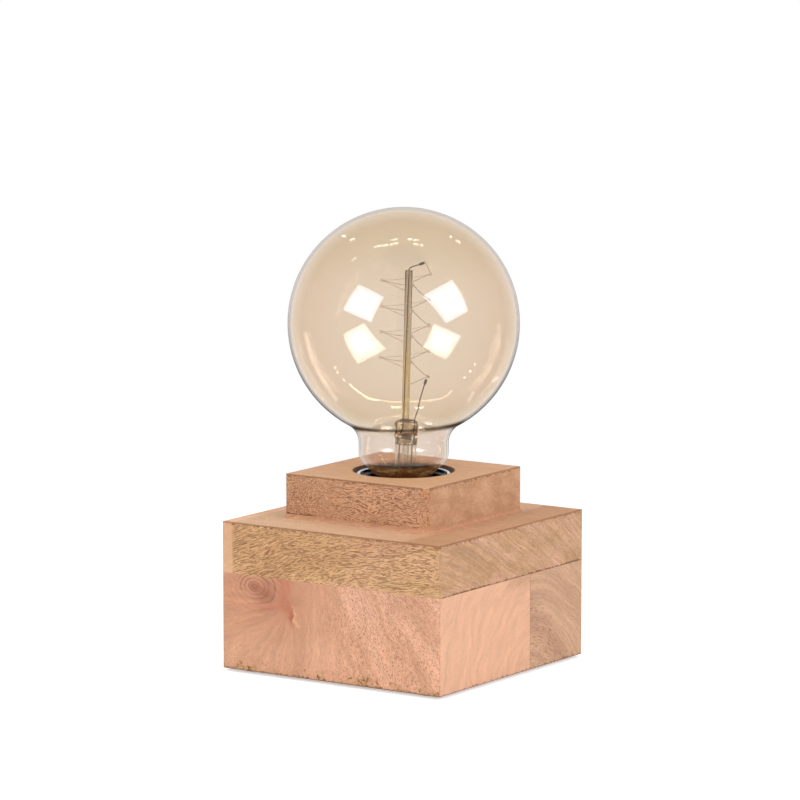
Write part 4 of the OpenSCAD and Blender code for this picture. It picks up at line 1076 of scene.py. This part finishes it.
class LAMP_OT_cap(bpy.types.Operator):
    """Threaded cap of the bulb with its insulator and contact"""
    bl_idname = "lamp.cap"
    bl_label = "Bulb cap"

    def execute(self, context):
        root = CAP_R - 0.77
        outer, inner = threaded(CAP_THREAD_Z[0], CAP_ROOT_Z, 84, root + 0.35, 0.035,
                                *CAP_THREAD_Z, 1.4, (0.0, CAP_T))
        lip = CAP_R - CAP_T - 0.3 - CAP_T
        profile = [(lip, CAP_Z)] + arc(root - 0.25, CAP_Z + 0.6, 0.6, -90, 0, 5) + outer
        profile += [(CAP_R - 0.25, CAP_NECK_Z), (CAP_R, CAP_BAND_Z), (CAP_R, CAP_TOP_Z - 0.7)]
        profile += arc(CAP_R, CAP_TOP_Z - CAP_T, CAP_T, -60, 150, 8)
        profile += [(CAP_R - CAP_T, CAP_TOP_Z - 0.8), (CAP_R - CAP_T, CAP_BAND_Z),
                    (CAP_R - 0.25 - CAP_T, CAP_NECK_Z)]
        profile += inner[::-1] + [(root - 0.3, CAP_Z + CAP_T), (lip, CAP_Z + CAP_T)]
        mesh_object("cap_threaded", lathe(profile), "cap_shell")

        hole = LEAD_R + 0.3
        out = lip - 0.3
        step = CAP_R - CAP_T - 0.65
        profile = [(hole, INSULATOR_Z), (CONTACT_R + 0.4, INSULATOR_Z),
                   (CONTACT_R + 1.2, INSULATOR_Z + 0.15), (out - 0.5, CAP_Z - 0.75),
                   (out, CAP_Z - 0.35), (out, CAP_Z + CAP_T + 0.3), (step, CAP_Z + CAP_T + 0.3),
                   (step, CAP_Z + 2.4), (hole, CAP_Z + 1.2)]
        mesh_object("insulator_black", lathe(profile), "cap_insulator", angle=25)

        profile = [(0, SEAT_Z)] + arc(2.2, SEAT_Z + 0.25, 0.25, -90, -40, 3)
        profile += arc(CONTACT_R - 0.6, SEAT_Z + 0.65, 0.6, -80, 0, 7)
        profile += [(CONTACT_R, INSULATOR_Z), (0, INSULATOR_Z)]
        mesh_object("contact_soldered", lathe(profile, close=False), "cap_contact")
        return {"FINISHED"}


class LAMP_OT_glass(bpy.types.Operator):
    """Blown glass of the bulb, with its neck, shoulder and tail"""
    bl_idname = "lamp.glass"
    bl_label = "Bulb glass"

    def execute(self, context):
        turn = math.degrees(math.atan2(GLOBE_Z - BLEND_Z, BLEND_X))

        def side(s):
            """Wall of the glass, s inside its outer face, from the tail to the top."""
            out = [(TAIL_R - s, TAIL_Z)]
            out += arc(TAIL_BEND_X, CAP_TOP_Z, SHOULDER_R + s, 180, 180 - SHOULDER_ANGLE, 10)
            out += arc(SHOULDER_X, SHOULDER_Z, SHOULDER_R - s, -SHOULDER_ANGLE, 0, 12)
            out += arc(BLEND_X, BLEND_Z, BLEND_R + s, 180, 180 - turn, 20)
            out += arc(0, GLOBE_Z, GLOBE_R - s, -turn, 90, 110)[1:]
            out[-1] = (0.0, out[-1][1])
            return out

        profile = side(0.0)[::-1] + side(GLASS_T)
        glass = lathe(profile, context.scene.lamp_bulb.segments)
        mesh_object("bulb_glass", glass, "glass_envelope", envelope_material("envelope_glass"), 60)
        return {"FINISHED"}


# Height, half width and half thickness of the press: a round tube that is pinched flat above, with
# a domed head
PRESS = ((0.0, 5.9, 5.9), (1.2, 5.9, 5.7), (2.6, 5.95, 4.6), (4.2, 6.3, 3.7), (5.6, 6.1, 3.3),
         (7.4, 5.8, 3.05), (9.0, 6.0, 3.3), (10.4, 6.45, 3.5), (11.6, 6.1, 3.3),
         (12.5, 5.1, 2.8), (13.15, 3.4, 1.9), (13.45, 1.4, 0.8))


class LAMP_OT_stem(bpy.types.Operator):
    """Glass stem with its flare and press, and the support tube"""
    bl_idname = "lamp.stem"
    bl_label = "Glass stem"

    def execute(self, context):
        bend = STEM_R + FLARE_R
        rim = TAIL_R - GLASS_T - 0.3
        top = FOOT_H - 0.05
        profile = [(STEM_R, top)] + arc(bend, FLARE_R, FLARE_R, 180, 264, 14)
        profile += [(rim, 0.0), (rim, -STEM_T), (bend - 0.6, -STEM_T)]
        profile += arc(bend, FLARE_R, FLARE_R + STEM_T, 262, 180, 14) + [(STEM_R - STEM_T, top)]
        mesh_object("stem_glass", moved(lathe(profile, 96), STEM_MATRIX), "stem_tube")

        segments = 64
        verts = []
        for h, wide, thick in PRESS:
            for k in range(segments):
                a = 2 * math.pi * k / segments
                lump = 1 + 0.035 * math.sin(3 * a + h) + 0.02 * math.sin(5 * a - 2 * h)
                verts.append((wide * lump * math.cos(a), thick * lump * math.sin(a), FOOT_H + h))
        faces = tube_faces(len(PRESS), segments) + tube_ends(len(PRESS), segments)
        mesh_object("press_glass", moved((verts, faces), STEM_MATRIX), "stem_press",
                    paint("press_glass"), 60)

        profile = [(SUPPORT_R, -SUPPORT_FOOT), (SUPPORT_R, SUPPORT_H - 0.2),
                   (SUPPORT_R - 0.2, SUPPORT_H), (SUPPORT_BORE_R + 0.1, SUPPORT_H),
                   (SUPPORT_BORE_R, SUPPORT_H - 0.15), (SUPPORT_BORE_R, -SUPPORT_FOOT)]
        mesh_object("support_glass", moved(lathe(profile, 48), SUPPORT_MATRIX), "support_tube")
        return {"FINISHED"}


class LAMP_OT_wires(bpy.types.Operator):
    """Leads with their clamps, hooks and the coiled filament"""
    bl_idname = "lamp.wires"
    bl_label = "Wires and filament"

    def execute(self, context):
        clamps = []
        for node, points in (("long_lead", long_lead_points()),
                             ("short_lead", short_lead_points())):
            mesh_object("wire_" + node, sweep(smooth_path(points), LEAD_R), node)
            along = (points[-1] - points[-2]).normalized()
            tip = points[-1] + 0.6 * along
            clamps.append(sweep([tip - CLAMP_L * (1 - s / 8) * along for s in range(9)],
                                lambda s: CLAMP_R * (0.72 if s in (0.0, 1.0) else 1.0), 16))
        mesh_object("wire_clamps", join(clamps), "lead_clamps")
        hooks = [sweep(hook_points(i), HOOK_WIRE_R, 8) for i in range(HOOKS)]
        mesh_object("wire_hooks", join(hooks), "support_hooks", paint("hook_wire"))
        coiled_filament(context.scene.lamp_bulb.coil_pitch)
        return {"FINISHED"}


def coil_tree():
    """Geometry nodes that lay a fine coil of wire along a curve."""
    group = bpy.data.node_groups.new("coil_along_route", "GeometryNodeTree")
    face = group.interface
    for name, kind in (("Geometry", "Geometry"), ("Step", "Float"), ("Coil radius", "Float"),
                       ("Wire radius", "Float"), ("Material", "Material")):
        face.new_socket(name, in_out="INPUT", socket_type="NodeSocket" + kind)
    face.new_socket("Geometry", in_out="OUTPUT", socket_type="NodeSocketGeometry")
    t = Tree(group)
    given = t.put("NodeGroupInput")
    curve, step, coil_r, wire_r, material = (Value(t, out) for out in given.outputs[:5])
    route = t.get("GeometryNodeResampleCurve", mode="LENGTH", Curve=curve, Length=step)
    normal = t.get("GeometryNodeInputNormal")
    cross = t.vmath("CROSS_PRODUCT", t.get("GeometryNodeInputTangent"), normal)
    angle = t.get("GeometryNodeInputIndex") * (2 * math.pi / COIL_STEPS)
    offset = t.vmath("ADD", t.scale(normal, t.math("COSINE", angle) * coil_r),
                     t.scale(cross, t.math("SINE", angle) * coil_r))
    coil = t.get("GeometryNodeSetPosition", Geometry=route, Offset=offset)
    ring = t.get("GeometryNodeCurvePrimitiveCircle", Resolution=4, Radius=wire_r)
    tube = t.get("GeometryNodeCurveToMesh", Curve=coil, Profile_Curve=ring, Fill_Caps=True)
    real = t.get("GeometryNodeRealizeInstances", tube)
    t.put("NodeGroupOutput", t.get("GeometryNodeSetMaterial", Geometry=real, Material=material))
    return group


def coiled_filament(pitch):
    """The filament's fine coil, laid along its route by geometry nodes."""
    curve = bpy.data.curves.new("filament_route", "CURVE")
    curve.dimensions = "3D"
    spline = curve.splines.new("POLY")
    points = smooth_path(filament_points(), 2)
    spline.points.add(len(points) - 1)
    for point, p in zip(spline.points, points):
        point.co = (*(p * MM), 1.0)
    route = bpy.data.objects.new("filament_route", curve)
    bpy.context.scene.collection.objects.link(route)
    modifier = route.modifiers.new("coil", "NODES")
    modifier.node_group = coil_tree()
    wire_r = FILAMENT_WIRE_R * MM
    given = {"Step": pitch / COIL_STEPS, "Coil radius": FILAMENT_R * MM - wire_r,
             "Wire radius": wire_r, "Material": paint("filament_wire")}
    for item in modifier.node_group.interface.items_tree:
        if item.name in given:
            modifier[item.identifier] = given[item.name]
    depsgraph = bpy.context.evaluated_depsgraph_get()
    mesh = bpy.data.meshes.new_from_object(route.evaluated_get(depsgraph))
    route.modifiers.clear()
    bpy.data.objects.remove(route)
    mesh.name = "wire_filament"
    finish_piece("wire_filament", mesh, "filament", None, 180)


# ---------------------------------------------------------------- stage

# Where the globe's middle stands in the picture and its radius there, and the corners of the two
# softboxes mirrored in it, in pixels
GLOBE_AT, GLOBE_PIXELS = (405.5, 323.4), 116.0
SOFTBOXES = {
    "softbox_left": ((361.4, 287), (386, 299.6), (373.8, 324.5), (346, 312)),
    "softbox_right": ((453.3, 282.7), (468.6, 313), (446.6, 325.4), (423.6, 298.6)),
}
# In metres: what the camera looks at, its sensor and how far it sees, how far the lights stand,
# and the top light and the floor
AIM_Z, AIM_LEFT, SENSOR_WIDTH, SIGHT_END = 0.14472, 0.0020, 0.036, 50.0
LIGHT_AWAY, TOP_LIGHT_Z, TOP_LIGHT_HALF = 1.6, 1.9, 0.6
FLOOR_HALF, FLOOR_DROP = 6.0, 0.0001
SQUARE = ((-1, -1), (1, -1), (1, 1), (-1, 1))
# How bright the softboxes are in a reflection, and the depth past which a ray is from the back
# wall, because it has passed the front wall twice
BOX_MIRRORED, BACK_WALL_DEPTH = 16.0, 2.5


class LAMP_OT_stage(bpy.types.Operator):
    """Floor, softboxes, world and camera"""
    bl_idname = "lamp.stage"
    bl_label = "Stage"

    def execute(self, context):
        scene = context.scene
        stage = scene.lamp_stage
        a, e = stage.azimuth, stage.elevation
        back = Vector((math.sin(a) * math.cos(e), -math.cos(a) * math.cos(e), math.sin(e)))
        right = Vector((math.cos(a), math.sin(a), 0.0))
        up = back.cross(right)
        eye = Vector((0, 0, AIM_Z)) - right * AIM_LEFT + back * stage.distance
        data = bpy.data.cameras.new("photo_camera")
        data.lens = stage.lens
        data.sensor_width = SENSOR_WIDTH / MM
        data.clip_end = SIGHT_END
        camera = bpy.data.objects.new("photo_camera", data)
        scene.collection.objects.link(camera)
        turn = Matrix((right, up, back)).transposed().to_4x4()
        camera.matrix_world = Matrix.Translation(eye) @ turn
        scene.camera = camera
        scene.view_settings.view_transform = "Standard"

        # each softbox and strip is where its reflection in the globe says
        place = mirror_place(eye, right, up, back)
        for name, corners in SOFTBOXES.items():
            light_panel(name, [[place(*c) for c in corners]], stage.box_strength,
                        BOX_MIRRORED, True)
        top = [Vector((x * TOP_LIGHT_HALF, y * TOP_LIGHT_HALF, TOP_LIGHT_Z)) for x, y in SQUARE]
        light_panel("softbox_top", [top], stage.top_strength, 1.0)
        for i, (strength, width, wall, lines) in enumerate(STREAKS):
            quads = []
            for line in lines:
                for (ax, ay), (bx, by) in zip(line, line[1:]):
                    size = math.hypot(bx - ax, by - ay)
                    nx, ny = (by - ay) / size * width / 2, (ax - bx) / size * width / 2
                    corners = ((ax + nx, ay + ny), (bx + nx, by + ny),
                               (bx - nx, by - ny), (ax - nx, ay - ny))
                    quads.append([place(*c, wall) for c in corners])
            light_panel("strip_%d" % i, quads, 0.0, strength, False, wall)

        floor_object(scene)
        world = bpy.data.worlds.new("studio")
        world.use_nodes = True
        scene.world = world
        t = Tree(world.node_tree)
        strength = t.range(seen_rays(t), 0.0, 1.0, stage.fill, 1.0, False)
        t.put("ShaderNodeOutputWorld", t.get("ShaderNodeBackground", WHITE, strength))
        return {"FINISHED"}


def floor_object(scene):
    """Pale floor that keeps the lamp's shadow and is as white as the backdrop farther off."""
    mesh = bpy.data.meshes.new("floor")
    mesh.from_pydata([(x * FLOOR_HALF, y * FLOOR_HALF, 0) for x, y in SQUARE], [], [(0, 1, 2, 3)])
    material, t = new_material("floor")
    away = t.vmath("LENGTH", t.get("ShaderNodeTexCoord", out="Object"))
    seen = seen_rays(t)
    matte = t.get("ShaderNodeBsdfDiffuse", (0.8, 0.8, 0.8, 1.0))
    glow = t.get("ShaderNodeEmission", WHITE, seen * t.range(away, 0.1, 0.9, 0.5, 1.0))
    near = t.get("ShaderNodeAddShader", matte, glow)
    white = t.get("ShaderNodeEmission", WHITE, 1.0)
    glossy = t.get("ShaderNodeLightPath", out="Is Glossy Ray")
    plain = t.max(seen * t.range(away, 0.35, 0.6), glossy)
    t.put("ShaderNodeOutputMaterial", t.get("ShaderNodeMixShader", plain, near, white))
    mesh.materials.append(material)
    floor = bpy.data.objects.new("floor", mesh)
    floor.location.z = -FLOOR_DROP
    scene.collection.objects.link(floor)


# Strips that glint in the globe: strength, width, wall of the globe and lines, in pixels of the
# picture. Wall 0 is the front of the globe and wall 1 its back.
STREAKS = (
    (15.0, 0.75, 0, (
        ((376, 249.8), (384.5, 248.2)), ((385.5, 248.4), (390.6, 247.4)),
        ((391.4, 243.6), (399.5, 242)), ((392, 247.8), (400, 245.6)), ((409.7, 242), (421, 243)),
        ((421.7, 247.4), (424.6, 248.6)), ((415, 246.8), (420, 247.4)))),
    (10.0, 0.9, 0, (
        ((344, 237.4), (348, 238)), ((352, 243), (357, 240.4)), ((354, 263), (358.5, 260.4)),
        ((451, 238.4), (453, 239.6)), ((457, 242.4), (462, 245.4)))),
    (30.0, 0.9, 1, (((352.3, 385.5), (358.5, 390.8), (370.7, 399.2), (383, 401.2)),)),
    (15.0, 0.8, 1, (
        ((383, 401.2), (404.4, 402.3), (422, 401.8), (439.6, 400), (447.3, 397), (453.4, 391.6)),)),
    (23.0, 1.3, 1, (
        ((337.2, 367.8), (338.4, 369.4)), ((339.6, 372.4), (340.6, 374)),
        ((345.6, 380), (346.8, 381.8)), ((476, 364.8), (475.2, 366.4)),
        ((471.6, 371.6), (470.4, 373.4)), ((466.2, 377.8), (465, 379.4)),
        ((392, 407.5), (403, 407.9)), ((404, 411.4), (407.5, 411.6)),
        ((416.6, 408.8), (425, 408)))),
    (1.9, 4.0, 0, (((308, 333), (313.4, 352), (322, 375), (332, 391), (340, 401)),)),
    (1.9, 3.0, 0, (
        ((499, 325), (499, 348)), ((499, 377), (493, 383)), ((475, 392), (469, 402)))),
    (5.0, 1.4, 0, (((383, 424), (396, 423)), ((424, 423), (433, 424)))),
)


def mirror_place(eye, right, up, back):
    """Gives, for a point of the picture, where light must stand to glint there in the globe."""
    globe = Vector((0, 0, GLOBE_Z * MM))
    radius = GLOBE_R * MM

    def place(px, py, wall=0):
        nx, ny = (px - GLOBE_AT[0]) / GLOBE_PIXELS, (GLOBE_AT[1] - py) / GLOBE_PIXELS
        n = right * nx + up * ny + back * math.sqrt(max(0.0, 1 - nx * nx - ny * ny))
        spot = globe + n * radius
        look = (spot - eye).normalized()
        if wall:
            spot = spot - 2 * look * look.dot(n) * radius
            n = (globe - spot).normalized()
        ray = (look - 2 * n.dot(look) * n).normalized()
        # a ray that falls ends just above the floor
        away = LIGHT_AWAY if ray.z > -0.05 else min(LIGHT_AWAY, (spot.z - 0.01) / -ray.z)
        return spot + ray * away

    return place


def light_panel(name, quads, strength, mirrored, soft=False, wall=None):
    """Light of four-cornered faces, hidden from the camera: strength for what it lights,
    mirrored for how bright it is in a reflection, on one wall of the globe where that is given."""
    mesh = bpy.data.meshes.new(name)
    mesh.from_pydata([tuple(c) for quad in quads for c in quad], [],
                     [tuple(range(4 * i, 4 * i + 4)) for i in range(len(quads))])
    layer = mesh.uv_layers.new(name="panel")
    for i in range(4 * len(quads)):
        layer.data[i].uv = ((0, 0), (1, 0), (1, 1), (0, 1))[i % 4]
    material, t = new_material(name)
    glossy = t.get("ShaderNodeLightPath", out="Is Glossy Ray")
    depth = t.get("ShaderNodeLightPath", out="Transparent Depth")
    deep = t.math("GREATER_THAN", depth, BACK_WALL_DEPTH)
    tone, bright = WARM_LIGHT, mirrored
    if soft:
        u, v, _ = t.split(t.get("ShaderNodeUVMap", uv_map="panel"))
        edge = t.max(abs(u - 0.5), abs(v - 0.5))
        bright = t.range(edge, 0.5, 0.12, 0.38, 1.0) * mirrored * (1.0 + deep * 0.9)
        tone = t.mix(glossy, tone, COOL_LIGHT)
    if wall is not None:
        bright = t.max((deep if wall else 1.0 - deep) * mirrored, 1.0)
    power = t.range(glossy, 0.0, 1.0, strength, bright, False)
    t.put("ShaderNodeOutputMaterial", t.get("ShaderNodeEmission", tone, power))
    mesh.materials.append(material)
    box = bpy.data.objects.new(name, mesh)
    bpy.context.scene.collection.objects.link(box)
    box.visible_camera = False
    if strength == 0.0:
        box.visible_diffuse = box.visible_shadow = box.visible_transmission = False


def seen_rays(t):
    """1 for the rays of the camera and those that glass and metal pass on."""
    camera, glossy, transmitted = (t.get("ShaderNodeLightPath", out="Is %s Ray" % kind)
                                   for kind in ("Camera", "Glossy", "Transmission"))
    return t.max(t.max(camera, glossy), transmitted)


OPERATORS = (LAMP_OT_wood, LAMP_OT_fittings, LAMP_OT_holder, LAMP_OT_cap, LAMP_OT_glass,
             LAMP_OT_stem, LAMP_OT_wires, LAMP_OT_stage)


class LAMP_PT_panel(bpy.types.Panel):
    """Builds the lamp piece by piece"""
    bl_label = "Table lamp"
    bl_idname = "LAMP_PT_panel"
    bl_space_type = "VIEW_3D"
    bl_region_type = "UI"
    bl_category = "Lamp"

    def draw(self, context):
        for group in (context.scene.lamp_wood, context.scene.lamp_bulb, context.scene.lamp_stage):
            for key in group.__annotations__:
                self.layout.prop(group, key)
        for operator in OPERATORS:
            self.layout.operator(operator.bl_idname)


CLASSES = (LampWood, LampBulb, LampStage) + OPERATORS + (LAMP_PT_panel,)


def register():
    for item in CLASSES:
        bpy.utils.register_class(item)
    bpy.types.Scene.lamp_wood = PointerProperty(type=LampWood)
    bpy.types.Scene.lamp_bulb = PointerProperty(type=LampBulb)
    bpy.types.Scene.lamp_stage = PointerProperty(type=LampStage)


def unregister():
    del bpy.types.Scene.lamp_wood
    del bpy.types.Scene.lamp_bulb
    del bpy.types.Scene.lamp_stage
    for item in reversed(CLASSES):
        bpy.utils.unregister_class(item)


def main():
    register()
    for operator in OPERATORS:
        group, name = operator.bl_idname.split(".")
        getattr(getattr(bpy.ops, group), name)()


if __name__ == "__main__":
    main()
